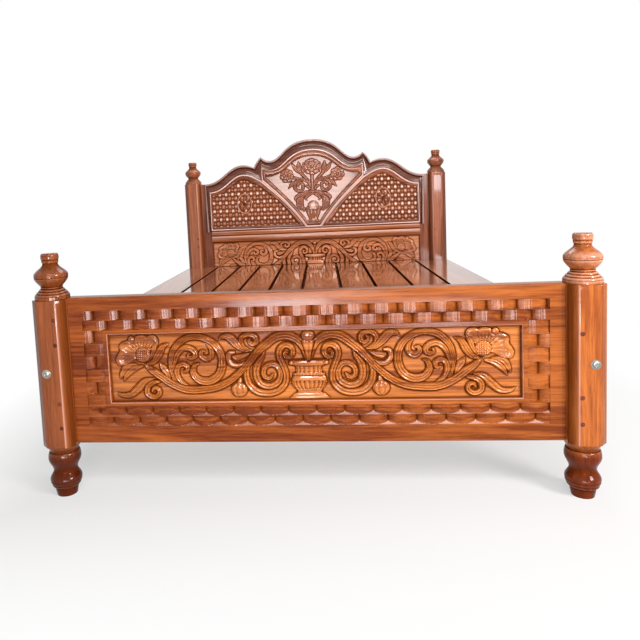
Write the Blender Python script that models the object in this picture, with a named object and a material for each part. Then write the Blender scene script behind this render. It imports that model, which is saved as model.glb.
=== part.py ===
"""Carved teak cot: four turned posts, a woven footboard, a crested headboard and a plank deck.

Metres, +Z up, X across the bed, Y from the footboard (-Y) to the headboard (+Y).
The origin lies on the floor under the middle of the bed.
"""

import math

import bmesh
import bpy

# Overall sizes, over the faces of the posts
BED_WIDTH = 1.575
BED_LENGTH = 2.100
CLEARANCE = 0.0003

# Posts
POST_SIZE = 0.100
POST_CHAMFER = 0.022
FOOT_POST_TOP = 0.588
HEAD_POST_TOP = 0.9575
TURNING_SIDES = 16
ROD_SIDES = 8

# Turned foot, from the floor up
TOE_HEIGHT = 0.021
TOE_RADIUS = 0.034
ANKLE_RADIUS = 0.037
RING_HEIGHT = 0.030
RING_RADIUS = 0.0458
WAIST_HEIGHT = 0.028
WAIST_RADIUS = 0.0382
BULB_HEIGHT = 0.034
BULB_RADIUS = 0.047
BULB_SHOULDER_HEIGHT = 0.018
NECK_HEIGHT = 0.025
NECK_RADIUS = 0.0445

# Turned finial, from the top of the post body up
FINIAL_BASE_HEIGHT = 0.010
FINIAL_BASE_RADIUS = 0.049
FINIAL_DOME_HEIGHT = 0.019
FINIAL_WAIST_HEIGHT = 0.004
FINIAL_WAIST_RADIUS = 0.0288
FINIAL_BOWL_HEIGHT = 0.037
FINIAL_BOWL_RADIUS = 0.047
FINIAL_SHOULDER_HEIGHT = 0.027
FINIAL_NECK_HEIGHT = 0.018
FINIAL_NECK_RADIUS = 0.0212
FINIAL_CAP_HEIGHT = 0.018
FINIAL_CAP_RADIUS = 0.0253

# Footboard frame and panel
FOOTBOARD_TOP = 0.590
FOOTBOARD_BOTTOM = 0.158
FOOTBOARD_THICKNESS = 0.040
FOOTBOARD_SETBACK = 0.034
FOOT_STILE_WIDTH = 0.108
FOOT_TOP_RAIL_HEIGHT = 0.108
FOOT_BOTTOM_RAIL_HEIGHT = 0.117
PANEL_RECESS = 0.012
PANEL_THICKNESS = 0.018
TONGUE_DEPTH = 0.010
TONGUE_THICKNESS = 0.010

# Basket weave carved round the footboard frame, two strands wide
TOP_WEAVE_PITCH = 0.0787
TOP_WEAVE_START = -0.0265
BOTTOM_WEAVE_PITCH = 0.0791
BOTTOM_WEAVE_START = -0.022
SIDE_WEAVE_ROWS = 6
WEAVE_STRAND = 0.029
WEAVE_DEPTH = 0.008
WEAVE_SKIN = 0.0005
WEAVE_LAP = 0.0002
WEAVE_LIP = 0.010
WEAVE_STEPS = 6

# Mortise and tenon joints, pegs
TENON_THICKNESS = 0.014
POST_TENON_DEPTH = 0.045
POST_TENON_HEIGHT = 0.120
POST_TENON_INSET = 0.094
RAIL_TENON_DEPTH = 0.025
RAIL_TENON_SHOULDER = 0.018
PEG_RADIUS = 0.0055
PEG_LENGTH = 0.075
PEG_INSET = 0.0295
FOOT_PEG_SPREAD = 0.036
HEAD_PEG_SPREAD = 0.024
PEG_PROUD = 0.0008

# Side rails, bolts, cross bearers and deck
SIDE_RAIL_HEIGHT = 0.125
SIDE_RAIL_THICKNESS = 0.040
SIDE_RAIL_INSET = 0.038
STUB_DEPTH = 0.015
STUB_THICKNESS = 0.020
STUB_HEIGHT = 0.080
BOLT_RADIUS = 0.005
BOLT_DROP = 0.0385
BOLT_HEAD_RADIUS = 0.0115
BOLT_HEAD_HEIGHT = 0.006
BOLT_REACH = 0.065
BOLT_TIP = 0.012
NUT_RADIUS = 0.0085
NUT_LENGTH = 0.030
BEARER_COUNT = 3
BEARER_WIDTH = 0.050
BEARER_HEIGHT = 0.075
BEARER_HOUSING = 0.015
BEARER_END_MARGIN = 0.220
DECK_TOP = 0.436
PLANK_THICKNESS = 0.020
PLANK_GAP = 0.008
PLANK_EASING = 0.002
PLANK_END_GAP = 0.002
PLANK_SHARES = (1.26, 0.93, 0.82, 0.92, 0.99, 1.16, 1.04, 1.06, 1.06, 1.29)

# Headboard frame
HEAD_SETBACK = 0.042
HEAD_THICKNESS = 0.034
HEAD_STILE_WIDTH = 0.0515
HEAD_STILE_FOOT = 0.250
MID_RAIL_BOTTOM = 0.589
MID_RAIL_TOP = 0.655
MID_RAIL_NOSE = 0.012
MID_RAIL_BAND = 0.023
MID_RAIL_GROOVE = 0.004
SCROLL_PANEL_HEIGHT = 0.220
HEAD_BOTTOM_RAIL_HEIGHT = 0.090
HEAD_PEG_HEIGHT = 0.594
HEAD_LOW_TENON_HEIGHT = 0.340

# Crest outline: steps outward from the centre line and levels of its turns
CREST_TOP = 1.194
VALLEY_OUT = 0.255
VALLEY_DROP = 0.117
EAR_OUT = 0.053
EAR_RISE = 0.025
EAR_SIDE_OUT = 0.0465
EAR_SIDE_DROP = 0.061
SIDE_PEAK_OUT = 0.068
SIDE_PEAK_RISE = 0.0175
SHOULDER_LEVEL = 0.9525

# Openings of the crest board and the mouldings round them
SHIELD_BAND = 0.100
SHIELD_TIP_IN = 0.025
SHIELD_TIP_DROP = 0.123
SHIELD_FOOT_HALF = 0.036
SHIELD_FOOT_RISE = 0.043
SHIELD_FRAME = 0.042
SHIELD_HIP_DROP = 0.022
SHIELD_FOOT_SPREAD = 0.005
FRAME_FOOT_RISE = 0.008
EAR_BAND = 0.066
LATTICE_BAND = 0.0905
LATTICE_FRAME = 0.034
LATTICE_SIDE_FRAME = 0.0142
LATTICE_SHOULDER_FRAME = 0.022
LATTICE_HEEL_OUT = 0.0925
LATTICE_SIDE_MARGIN = 0.0145
LATTICE_SHOULDER_DROP = 0.072
LATTICE_FOOT_RISE = 0.029
REBATE = 0.008
REBATE_LEVEL = 0.014
FIELD_RECESS = 0.008
INSET_THICKNESS = 0.014
BEAD_WIDTH = 0.007
BEAD_RISE = 0.012
BAND_RISE = 0.007
BAND_EDGE_RISE = 0.003
CROWN_BEAD_WIDTH = 0.014
CROWN_BEAD_RISE = 0.018
CROWN_COVE_RISE = 0.006
CROWN_INNER_RISE = 0.010
CROWN_STRIP = 0.0255
FRAME_GAP = 0.0005

# Number of straight steps in each curved stretch
ARCH_STEPS = 10
EAR_STEPS = 3
FLANK_STEPS = 8
RISE_STEPS = 3
SIDE_STEPS = 9
NOSE_STEPS = 6

# Medallions on the lattice panels
MEDALLION_HALF_WIDTH = 0.046
MEDALLION_HALF_HEIGHT = 0.067
MEDALLION_DROP = 0.004
MEDALLION_RISE = 0.010
MEDALLION_SIDES = 24

# Places worked out from the sizes above
HALF_WIDTH = BED_WIDTH / 2
HALF_LENGTH = BED_LENGTH / 2
POST_X = HALF_WIDTH - POST_SIZE / 2
POST_INNER = HALF_WIDTH - POST_SIZE
FOOT_Y = -HALF_LENGTH + POST_SIZE / 2
HEAD_Y = HALF_LENGTH - POST_SIZE / 2
FOOT_INNER_Y = -HALF_LENGTH + POST_SIZE
HEAD_INNER_Y = HALF_LENGTH - POST_SIZE
BODY_BOTTOM = TOE_HEIGHT + RING_HEIGHT + WAIST_HEIGHT + BULB_HEIGHT + BULB_SHOULDER_HEIGHT + NECK_HEIGHT

FOOTBOARD_FRONT = -HALF_LENGTH + FOOTBOARD_SETBACK
FOOTBOARD_BACK = FOOTBOARD_FRONT + FOOTBOARD_THICKNESS
FOOTBOARD_MIDDLE = (FOOTBOARD_FRONT + FOOTBOARD_BACK) / 2
PANEL_HALF = POST_INNER - FOOT_STILE_WIDTH
PANEL_TOP = FOOTBOARD_TOP - FOOT_TOP_RAIL_HEIGHT
PANEL_BOTTOM = FOOTBOARD_BOTTOM + FOOT_BOTTOM_RAIL_HEIGHT
PANEL_FRONT = FOOTBOARD_FRONT + PANEL_RECESS
PANEL_MIDDLE = PANEL_FRONT + PANEL_THICKNESS / 2
FOOT_TENON_LEVELS = (FOOTBOARD_TOP - POST_TENON_INSET, FOOTBOARD_BOTTOM + POST_TENON_INSET)

HEAD_FACE = HEAD_INNER_Y + HEAD_SETBACK
HEAD_BACK = HEAD_FACE + HEAD_THICKNESS
HEAD_MIDDLE = (HEAD_FACE + HEAD_BACK) / 2
HALF_BOARD = POST_INNER - HEAD_STILE_WIDTH
CREST_END = POST_INNER - CROWN_STRIP
SCROLL_PANEL_BOTTOM = MID_RAIL_BOTTOM - SCROLL_PANEL_HEIGHT
HEAD_TENON_LEVELS = (HEAD_PEG_HEIGHT, HEAD_LOW_TENON_HEIGHT)

DECK_UNDERSIDE = DECK_TOP - PLANK_THICKNESS
RAIL_X = HALF_WIDTH - SIDE_RAIL_INSET
RAIL_INNER = RAIL_X - SIDE_RAIL_THICKNESS / 2
RAIL_TOP = DECK_UNDERSIDE - CLEARANCE
RAIL_BOTTOM = RAIL_TOP - SIDE_RAIL_HEIGHT
BOLT_Z = DECK_UNDERSIDE - BOLT_DROP
BOLT_HOLE_RADIUS = (BOLT_RADIUS + CLEARANCE) / math.cos(math.pi / ROD_SIDES)

SIDES = (("left", -1), ("right", 1))

TEAK = {"colour": (0.42, 0.16, 0.055, 1.0), "roughness": 0.22, "metallic": 0.0}
TEAK_DARK = {"colour": (0.30, 0.105, 0.04, 1.0), "roughness": 0.25, "metallic": 0.0}
TEAK_PANEL = {"colour": (0.50, 0.20, 0.065, 1.0), "roughness": 0.20, "metallic": 0.0}
PEG_WOOD = {"colour": (0.09, 0.025, 0.012, 1.0), "roughness": 0.40, "metallic": 0.0}
CHROME = {"colour": (0.75, 0.75, 0.73, 1.0), "roughness": 0.15, "metallic": 1.0}
STEEL = {"colour": (0.55, 0.55, 0.55, 1.0), "roughness": 0.35, "metallic": 1.0}


def clear_scene():
    """Start from an empty scene."""
    for item in list(bpy.data.objects):
        bpy.data.objects.remove(item)


def make_material(name, finish):
    """One Principled material for one piece."""
    material = bpy.data.materials.new(name)
    material.use_nodes = True
    shader = material.node_tree.nodes["Principled BSDF"]
    shader.inputs["Base Color"].default_value = finish["colour"]
    shader.inputs["Roughness"].default_value = finish["roughness"]
    shader.inputs["Metallic"].default_value = finish["metallic"]
    material.diffuse_color = finish["colour"]
    return material


def clean(bm):
    """Weld the seams of a bmesh and point its faces outward."""
    bmesh.ops.remove_doubles(bm, verts=bm.verts, dist=1e-6)
    bmesh.ops.dissolve_degenerate(bm, edges=bm.edges, dist=1e-6)
    bmesh.ops.recalc_face_normals(bm, faces=bm.faces)


def new_object(name, bm):
    """Turn a bmesh into an object of the scene."""
    clean(bm)
    mesh = bpy.data.meshes.new(name)
    bm.to_mesh(mesh)
    bm.free()
    item = bpy.data.objects.new(name, mesh)
    bpy.context.scene.collection.objects.link(item)
    return item


def apply_boolean(item, tool_bm, operation):
    """Cut or fuse a tool shape into an object, and remove the tool."""
    tool = new_object(item.name + ".tool", tool_bm)
    modifier = item.modifiers.new("joinery", "BOOLEAN")
    modifier.operation = operation
    modifier.solver = "EXACT"
    modifier.object = tool
    graph = bpy.context.evaluated_depsgraph_get()
    shaped = bpy.data.meshes.new_from_object(item.evaluated_get(graph))
    item.modifiers.clear()
    item.data = shaped
    bpy.data.objects.remove(tool)


def cut(item, *tools):
    """Remove tool shapes from an object, one after the other."""
    for tool in tools:
        apply_boolean(item, tool, "DIFFERENCE")


def fuse(item, *tools):
    """Add tool shapes to an object, one after the other."""
    for tool in tools:
        apply_boolean(item, tool, "UNION")


def finish_piece(item, finish, smooth_angle=None):
    """Clean the mesh of a finished piece and give it its material."""
    bm = bmesh.new()
    bm.from_mesh(item.data)
    clean(bm)
    bm.to_mesh(item.data)
    bm.free()
    item.data.name = item.name
    item.data.materials.clear()
    item.data.materials.append(make_material(item.name, finish))
    if smooth_angle:
        item.data.shade_smooth()
        item.data.set_sharp_from_angle(angle=math.radians(smooth_angle))
    return item


def add_box(bm, low, high):
    """Add a box between two corners given in any order."""
    corners = [(min(a, b), max(a, b)) for a, b in zip(low, high)]
    (x0, x1), (y0, y1), (z0, z1) = corners
    add_prism(bm, [(x0, z0), (x1, z0), (x1, z1), (x0, z1)], y0, y1)
    return bm


def boxes(*pairs):
    """A bmesh of separate boxes, each given by two corners."""
    bm = bmesh.new()
    for low, high in pairs:
        add_box(bm, low, high)
    return bm


def add_prism(bm, outline, y0, y1):
    """Add an outline in the XZ plane, extruded along Y."""
    add_extrusion(bm, [(x, y0, z) for x, z in outline], (0.0, y1 - y0, 0.0))
    return bm


def add_extrusion(bm, points, offset):
    """Add a flat outline of 3-D points, extruded by an offset."""
    base = [bm.verts.new(p) for p in points]
    top = [bm.verts.new([a + b for a, b in zip(p, offset)]) for p in points]
    bm.faces.new(base)
    bm.faces.new(reversed(top))
    for i, vert in enumerate(base):
        j = (i + 1) % len(base)
        bm.faces.new((vert, top[i], top[j], base[j]))
    return bm


def add_rod(bm, start, end, radius):
    """Add a round rod between two points on a line along X or Y."""
    along_x = abs(end[0] - start[0]) > abs(end[1] - start[1])
    points = []
    for i in range(ROD_SIDES):
        angle = 2 * math.pi * (i + 0.5) / ROD_SIDES
        across, up = radius * math.cos(angle), radius * math.sin(angle)
        if along_x:
            points.append((start[0], start[1] + across, start[2] + up))
        else:
            points.append((start[0] + across, start[1], start[2] + up))
    add_extrusion(bm, points, [b - a for a, b in zip(start, end)])
    return bm


def rods(*specs):
    """A bmesh of separate rods, each given by start, end and radius."""
    bm = bmesh.new()
    for start, end, radius in specs:
        add_rod(bm, start, end, radius)
    return bm


def cubic(p0, p1, p2, p3, steps):
    """Points of a cubic curve, without its last point."""
    points = []
    for i in range(steps):
        t = i / steps
        u = 1 - t
        weights = (u ** 3, 3 * u * u * t, 3 * u * t * t, t ** 3)
        points.append(tuple(sum(w * p[k] for w, p in zip(weights, (p0, p1, p2, p3))) for k in (0, 1)))
    return points


def swing(p, q, lead, trail, steps):
    """An S-shaped curve, level at both ends; lead and trail are shares of the span."""
    span = q[0] - p[0]
    return cubic(p, (p[0] + lead * span, p[1]), (q[0] - trail * span, q[1]), q, steps)


def mirrored(half):
    """A closed outline from its right half, which runs from the top centre to the bottom centre."""
    left = [(-x, z) for x, z in reversed(half) if x > 1e-9]
    return half + left


def flip(outline, side):
    """An outline on the right or the left side of the bed."""
    return [(side * x, z) for x, z in outline]


def signed_area(outline):
    """Area of a closed outline, positive when it runs anticlockwise."""
    total = 0.0
    for (x0, z0), (x1, z1) in zip(outline, outline[1:] + outline[:1]):
        total += x0 * z1 - x1 * z0
    return total / 2


def grown(outline, distance):
    """A closed outline moved outward by a distance, with mitred corners."""
    turn = 1 if signed_area(outline) > 0 else -1
    result = []
    count = len(outline)
    for i, (x, z) in enumerate(outline):
        before, after = outline[i - 1], outline[(i + 1) % count]
        ax, az = unit(before, (x, z))
        bx, bz = unit((x, z), after)
        nx, nz = turn * (az + bz) / 2, turn * -(ax + bx) / 2
        scale = distance / (nx * nx + nz * nz)
        result.append((x + nx * scale, z + nz * scale))
    return result


def unit(p, q):
    """Direction from one outline point to the next."""
    length = math.hypot(q[0] - p[0], q[1] - p[1])
    return (q[0] - p[0]) / length, (q[1] - p[1]) / length


def forward(p, q, distance):
    """A point moved toward the next point of its path."""
    along = unit(p, q)
    return p[0] + along[0] * distance, p[1] + along[1] * distance


def loft(outer, inner, section, base_y, closed):
    """A moulding between an outer and an inner path, which have the same number of points.

    The section lists (share of the width, added distance, rise in front of the base plane).
    """
    bm = bmesh.new()
    stations = []
    for p, q in zip(outer, inner):
        along = unit(p, q)
        station = []
        for share, added, rise in section:
            x = p[0] + (q[0] - p[0]) * share + along[0] * added
            z = p[1] + (q[1] - p[1]) * share + along[1] * added
            station.append(bm.verts.new((x, base_y - rise, z)))
        stations.append(station)
    pairs = list(zip(stations, stations[1:]))
    if closed:
        pairs.append((stations[-1], stations[0]))
    else:
        bm.faces.new(stations[0])
        bm.faces.new(reversed(stations[-1]))
    for here, there in pairs:
        for k in range(len(section)):
            m = (k + 1) % len(section)
            bm.faces.new((here[k], here[m], there[m], there[k]))
    return bm


# Posts


def quarter(z0, r0, z1, r1, level_first, steps=3):
    """Quarter of an ellipse between two heights of a turning, without its last point."""
    points = []
    for i in range(steps):
        angle = math.pi / 2 * i / steps
        if level_first:
            points.append((z0 + (z1 - z0) * (1 - math.cos(angle)), r0 + (r1 - r0) * math.sin(angle)))
        else:
            points.append((z0 + (z1 - z0) * math.sin(angle), r0 + (r1 - r0) * (1 - math.cos(angle))))
    return points


def ogee(z0, r0, z1, r1, steps=4):
    """S-shaped stretch of a turning, without its last point."""
    points = []
    for i in range(steps):
        t = i / steps
        points.append((z0 + (z1 - z0) * t, r0 + (r1 - r0) * (1 - math.cos(math.pi * t)) / 2))
    return points


def swell(z0, r0, z1, r1, steps=3):
    """Stretch of a turning that starts at a slope and ends upright, without its last point."""
    points = []
    for i in range(steps):
        t = i / steps
        points.append((z0 + (z1 - z0) * t, r0 + (r1 - r0) * math.sin(math.pi / 2 * t)))
    return points


def bead(z0, z1, edge, top):
    """Round bead of a turning between two heights, without its last point."""
    middle = (z0 + z1) / 2
    return quarter(z0, edge, middle, top, True, 2) + quarter(middle, top, z1, edge, False, 2)


def foot_profile():
    """Heights and radii of the turned foot."""
    ring = TOE_HEIGHT + RING_HEIGHT
    waist = ring + WAIST_HEIGHT
    bulb = waist + BULB_HEIGHT
    neck = bulb + BULB_SHOULDER_HEIGHT
    points = [(0.0, TOE_RADIUS)]
    points += ogee(TOE_HEIGHT, ANKLE_RADIUS, ring, RING_RADIUS, 3)
    points += ogee(ring, RING_RADIUS, waist, WAIST_RADIUS, 2)
    points += ogee(waist, WAIST_RADIUS, bulb, BULB_RADIUS, 3)
    points += quarter(bulb, BULB_RADIUS, neck, NECK_RADIUS, False, 2)
    points += ogee(neck, NECK_RADIUS, BODY_BOTTOM, POST_SIZE / 2, 2)
    return points


def finial_profile(bottom):
    """Heights and radii of the finial that stands on the post body."""
    dome = bottom + FINIAL_BASE_HEIGHT
    waist = dome + FINIAL_DOME_HEIGHT
    bowl = waist + FINIAL_WAIST_HEIGHT
    shoulder = bowl + FINIAL_BOWL_HEIGHT
    neck = shoulder + FINIAL_SHOULDER_HEIGHT
    cap = neck + FINIAL_NECK_HEIGHT
    top = cap + FINIAL_CAP_HEIGHT
    points = [(bottom, FINIAL_BASE_RADIUS)]
    points += quarter(dome, FINIAL_BASE_RADIUS, waist, FINIAL_WAIST_RADIUS, False)
    points += [(waist, FINIAL_WAIST_RADIUS)]
    points += swell(bowl, FINIAL_WAIST_RADIUS, shoulder, FINIAL_BOWL_RADIUS)
    points += ogee(shoulder, FINIAL_BOWL_RADIUS, neck, FINIAL_NECK_RADIUS)
    points += [(neck, FINIAL_NECK_RADIUS)]
    points += bead(cap, top, FINIAL_NECK_RADIUS, FINIAL_CAP_RADIUS)
    points += [(top, FINIAL_NECK_RADIUS)]
    return points


def post_ring(bm, x, y, z, radius):
    """One turned ring of a post."""
    ring = []
    for i in range(TURNING_SIDES):
        angle = 2 * math.pi * i / TURNING_SIDES
        ring.append(bm.verts.new((x + radius * math.cos(angle), y + radius * math.sin(angle), z)))
    return ring


def body_ring(bm, x, y, z):
    """One ring of the chamfered body: flat middles, chamfer corners and chamfer middles in turn."""
    half = POST_SIZE / 2
    short = half - POST_CHAMFER
    middle = half - POST_CHAMFER / 2
    quadrant = [(half, 0.0), (half, short), (middle, middle), (short, half)]
    ring = []
    for turn in range(TURNING_SIDES // len(quadrant)):
        for a, b in quadrant:
            for _ in range(turn):
                a, b = -b, a
            ring.append(bm.verts.new((x + a, y + b, z)))
    return ring


def make_post(name, side, y, body_top):
    """A post: turned foot, chamfered square body and turned finial, in one piece of wood."""
    bm = bmesh.new()
    x = side * POST_X
    rings = [post_ring(bm, x, y, z, r) for z, r in foot_profile()]
    rings += [body_ring(bm, x, y, BODY_BOTTOM), body_ring(bm, x, y, body_top)]
    rings += [post_ring(bm, x, y, z, r) for z, r in finial_profile(body_top)]
    for here, there in zip(rings, rings[1:]):
        for i in range(TURNING_SIDES):
            j = (i + 1) % TURNING_SIDES
            bm.faces.new((here[i], here[j], there[j], there[i]))
    bm.faces.new(reversed(rings[0]))
    bm.faces.new(rings[-1])
    return new_object(name, bm)


def tenon_box(side, middle_y, level, slack):
    """Corners of a stile tenon in a post, or of its mortise where slack is the clearance."""
    half = TENON_THICKNESS / 2 + slack
    rise = POST_TENON_HEIGHT / 2 + slack
    start = side * (POST_INNER - 2 * CLEARANCE)
    end = side * (POST_INNER + POST_TENON_DEPTH + slack)
    return (start, middle_y - half, level - rise), (end, middle_y + half, level + rise)


def stub_box(side, inner_y, outward, slack):
    """Corners of a side rail's stub tenon in a post, or of its mortise."""
    half = STUB_THICKNESS / 2 + slack
    rise = STUB_HEIGHT / 2 + slack
    level = (RAIL_TOP + RAIL_BOTTOM) / 2
    x = side * RAIL_X
    start = inner_y - outward * 2 * CLEARANCE
    end = inner_y + outward * (STUB_DEPTH + slack)
    return (x - half, start, level - rise), (x + half, end, level + rise)


def peg_line(side, post_y, level, slack):
    """Start, end and radius of a peg, or of its hole, from the front face of a post."""
    front = post_y - POST_SIZE / 2
    x = side * (POST_INNER + PEG_INSET)
    start = front - (PEG_PROUD if slack == 0 else POST_CHAMFER)
    return (x, start, level), (x, front + PEG_LENGTH + slack, level), PEG_RADIUS + slack


def peg_levels(which, name):
    """Heights of the pegs that show on a post."""
    if which == "head":
        return [HEAD_PEG_HEIGHT + HEAD_PEG_SPREAD, HEAD_PEG_HEIGHT - HEAD_PEG_SPREAD]
    upper, lower = FOOT_TENON_LEVELS
    levels = []
    for level in (upper, lower):
        levels += [level + FOOT_PEG_SPREAD, level - FOOT_PEG_SPREAD]
    return levels if name == "left" else levels[1:]


def bolt_hole(side, outer_y, outward, depth):
    """A rod for the bolt's hole, from the outer face of a post inward."""
    x = side * RAIL_X
    start = (x, outer_y + outward * POST_CHAMFER, BOLT_Z)
    end = (x, outer_y - outward * depth, BOLT_Z)
    return start, end, BOLT_HOLE_RADIUS


def make_posts():
    """Four posts with their mortises, peg holes and bolt holes."""
    ends = (
        ("foot", FOOT_Y, FOOT_POST_TOP, FOOTBOARD_MIDDLE, FOOT_TENON_LEVELS, FOOT_INNER_Y, -1),
        ("head", HEAD_Y, HEAD_POST_TOP, HEAD_MIDDLE, HEAD_TENON_LEVELS, HEAD_INNER_Y, 1),
    )
    for which, y, top, board_y, levels, inner_y, outward in ends:
        for name, side in SIDES:
            post = make_post(which + "_post_" + name, side, y, top)
            mortises = [tenon_box(side, board_y, level, CLEARANCE) for level in levels]
            mortises.append(stub_box(side, inner_y, outward, CLEARANCE))
            holes = [peg_line(side, y, z, CLEARANCE) for z in peg_levels(which, name)]
            holes.append(bolt_hole(side, y + outward * POST_SIZE / 2, outward, POST_SIZE))
            cut(post, boxes(*mortises), rods(*holes))
            finish_piece(post, TEAK_DARK, 35)
            make_pegs(which, name, side, y)


def make_pegs(which, name, side, y):
    """The dark wooden pegs of one post."""
    for number, level in enumerate(peg_levels(which, name), 1):
        line = peg_line(side, y, level, 0.0)
        peg = new_object("%s_peg_%s_%d" % (which, name, number), rods(line))
        finish_piece(peg, PEG_WOOD, 40)


# Footboard


def strand(row, start, end):
    """Tool that carves one level strand of the weave: a rippled trough between two places."""
    low, high, pitch, bulge = row
    count = max(2, round((end - start) / pitch * WEAVE_STEPS))
    profile = []
    for i in range(count + 1):
        x = start + (end - start) * i / count
        dip = (1 - math.cos(2 * math.pi * (x - bulge) / pitch)) / 2
        profile.append((x, FOOTBOARD_FRONT + WEAVE_SKIN + WEAVE_DEPTH * dip))
    profile.append((end, FOOTBOARD_FRONT - WEAVE_DEPTH))
    profile.append((start, FOOTBOARD_FRONT - WEAVE_DEPTH))
    bm = bmesh.new()
    outline = [(x, y, low - WEAVE_LAP) for x, y in profile]
    add_extrusion(bm, outline, (0.0, 0.0, high - low + 2 * WEAVE_LAP))
    return bm


def top_rows():
    """The two strands over the panel: bottom, top, pitch and the place of one bulge."""
    first = PANEL_TOP + WEAVE_LIP
    half_pitch = TOP_WEAVE_PITCH / 2
    return [(first, first + WEAVE_STRAND, TOP_WEAVE_PITCH, TOP_WEAVE_START + half_pitch),
            (first + WEAVE_STRAND, first + 2 * WEAVE_STRAND, TOP_WEAVE_PITCH, TOP_WEAVE_START)]


def bottom_rows():
    """The two strands under the panel."""
    first = PANEL_BOTTOM - WEAVE_LIP
    second = first - WEAVE_STRAND
    half_pitch = BOTTOM_WEAVE_PITCH / 2
    return [(second, first, BOTTOM_WEAVE_PITCH, BOTTOM_WEAVE_START),
            (second - WEAVE_STRAND, second, BOTTOM_WEAVE_PITCH, BOTTOM_WEAVE_START + half_pitch)]


def side_rows(side):
    """The short strands beside the panel, whose bulges stand in turn at and beside the band's middle."""
    bottom, top = PANEL_BOTTOM - WEAVE_LIP, PANEL_TOP + WEAVE_LIP
    height = (top - bottom) / SIDE_WEAVE_ROWS
    middle = side * (PANEL_HALF + WEAVE_LIP + WEAVE_STRAND)
    rows = []
    for k in range(SIDE_WEAVE_ROWS):
        aside = (k % 2 == 1) == (side < 0)
        bulge = middle + (TOP_WEAVE_PITCH / 2 if aside else 0.0)
        rows.append((bottom + height * k, bottom + height * (k + 1), TOP_WEAVE_PITCH, bulge))
    return rows


def rail_tenons(half, low, high, middle_y, slack):
    """Corner pairs of the tenons at both ends of a rail, or of their mortises."""
    thick = TENON_THICKNESS / 2 + slack
    pairs = []
    for _, side in SIDES:
        start = side * (half - 2 * CLEARANCE)
        end = side * (half + RAIL_TENON_DEPTH + slack)
        pairs.append(((start, middle_y - thick, low - slack), (end, middle_y + thick, high + slack)))
    return pairs


def foot_rail_spans():
    """Bottom and top of the tenons of the lower and the upper rail of the footboard."""
    return (
        (FOOTBOARD_BOTTOM + RAIL_TENON_SHOULDER, PANEL_BOTTOM - RAIL_TENON_SHOULDER),
        (PANEL_TOP + RAIL_TENON_SHOULDER, FOOTBOARD_TOP - RAIL_TENON_SHOULDER),
    )


def make_foot_rails():
    """Upper and lower rail of the footboard, tenoned into the stiles and grooved for the panel."""
    lower, upper = foot_rail_spans()
    specs = (
        ("foot_bottom_rail", FOOTBOARD_BOTTOM, PANEL_BOTTOM, lower, PANEL_BOTTOM, -1, bottom_rows()),
        ("foot_top_rail", PANEL_TOP, FOOTBOARD_TOP, upper, PANEL_TOP, 1, top_rows()),
    )
    half = PANEL_HALF - CLEARANCE
    groove_y = TONGUE_THICKNESS / 2 + CLEARANCE
    for name, bottom, top, tenon, edge, direction, rows in specs:
        rail = new_object(name, boxes(((-half, FOOTBOARD_FRONT, bottom), (half, FOOTBOARD_BACK, top))))
        fuse(rail, boxes(*rail_tenons(PANEL_HALF, tenon[0], tenon[1], FOOTBOARD_MIDDLE, 0.0)))
        groove_end = edge + direction * (TONGUE_DEPTH + CLEARANCE)
        groove_start = edge - direction * TONGUE_DEPTH
        cut(rail, boxes(((-HALF_WIDTH, PANEL_MIDDLE - groove_y, groove_start),
                         (HALF_WIDTH, PANEL_MIDDLE + groove_y, groove_end))))
        cut(rail, *[strand(row, -POST_INNER, POST_INNER) for row in rows])
        finish_piece(rail, TEAK)


def make_foot_stiles():
    """Stiles of the footboard, tenoned into the posts, with mortises for the rails."""
    groove_y = TONGUE_THICKNESS / 2 + CLEARANCE
    for name, side in SIDES:
        inner, outer = side * PANEL_HALF, side * (POST_INNER - CLEARANCE)
        stile = new_object("foot_stile_" + name, boxes(((inner, FOOTBOARD_FRONT, FOOTBOARD_BOTTOM),
                                                        (outer, FOOTBOARD_BACK, FOOTBOARD_TOP))))
        tenons = [tenon_box(side, FOOTBOARD_MIDDLE, level, 0.0) for level in FOOT_TENON_LEVELS]
        fuse(stile, boxes(*tenons))
        mortises = []
        for low, high in foot_rail_spans():
            mortises.append(rail_tenons(PANEL_HALF, low, high, FOOTBOARD_MIDDLE, CLEARANCE)[side > 0])
        groove_start = side * (PANEL_HALF - TONGUE_DEPTH)
        groove_end = side * (PANEL_HALF + TONGUE_DEPTH + CLEARANCE)
        groove = ((groove_start, PANEL_MIDDLE - groove_y, PANEL_BOTTOM - TONGUE_DEPTH),
                  (groove_end, PANEL_MIDDLE + groove_y, PANEL_TOP + TONGUE_DEPTH))
        holes = [peg_line(side, FOOT_Y, z, CLEARANCE) for z in peg_levels("foot", name)]
        cut(stile, boxes(*mortises), boxes(groove), rods(*holes))
        weave_end = PANEL_HALF + WEAVE_LIP + 2 * WEAVE_STRAND
        corner = sorted((side * (PANEL_HALF - WEAVE_LIP), side * weave_end))
        beside = sorted((side * (PANEL_HALF + WEAVE_LIP), side * weave_end))
        cut(stile, *[strand(row, *corner) for row in top_rows() + bottom_rows()])
        cut(stile, *[strand(row, *beside) for row in side_rows(side)])
        finish_piece(stile, TEAK)


def make_framed_panel(name, half, bottom, top, front, finish):
    """A panel with a tongue all round, which lies in the grooves of its frame."""
    inside = CLEARANCE
    middle = front + PANEL_THICKNESS / 2
    field = ((-half + inside, front, bottom + inside),
             (half - inside, front + PANEL_THICKNESS, top - inside))
    reach = TONGUE_DEPTH
    tongue = ((-half - reach, middle - TONGUE_THICKNESS / 2, bottom - reach),
              (half + reach, middle + TONGUE_THICKNESS / 2, top + reach))
    panel = new_object(name, boxes(field))
    fuse(panel, boxes(tongue))
    finish_piece(panel, finish)


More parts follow.
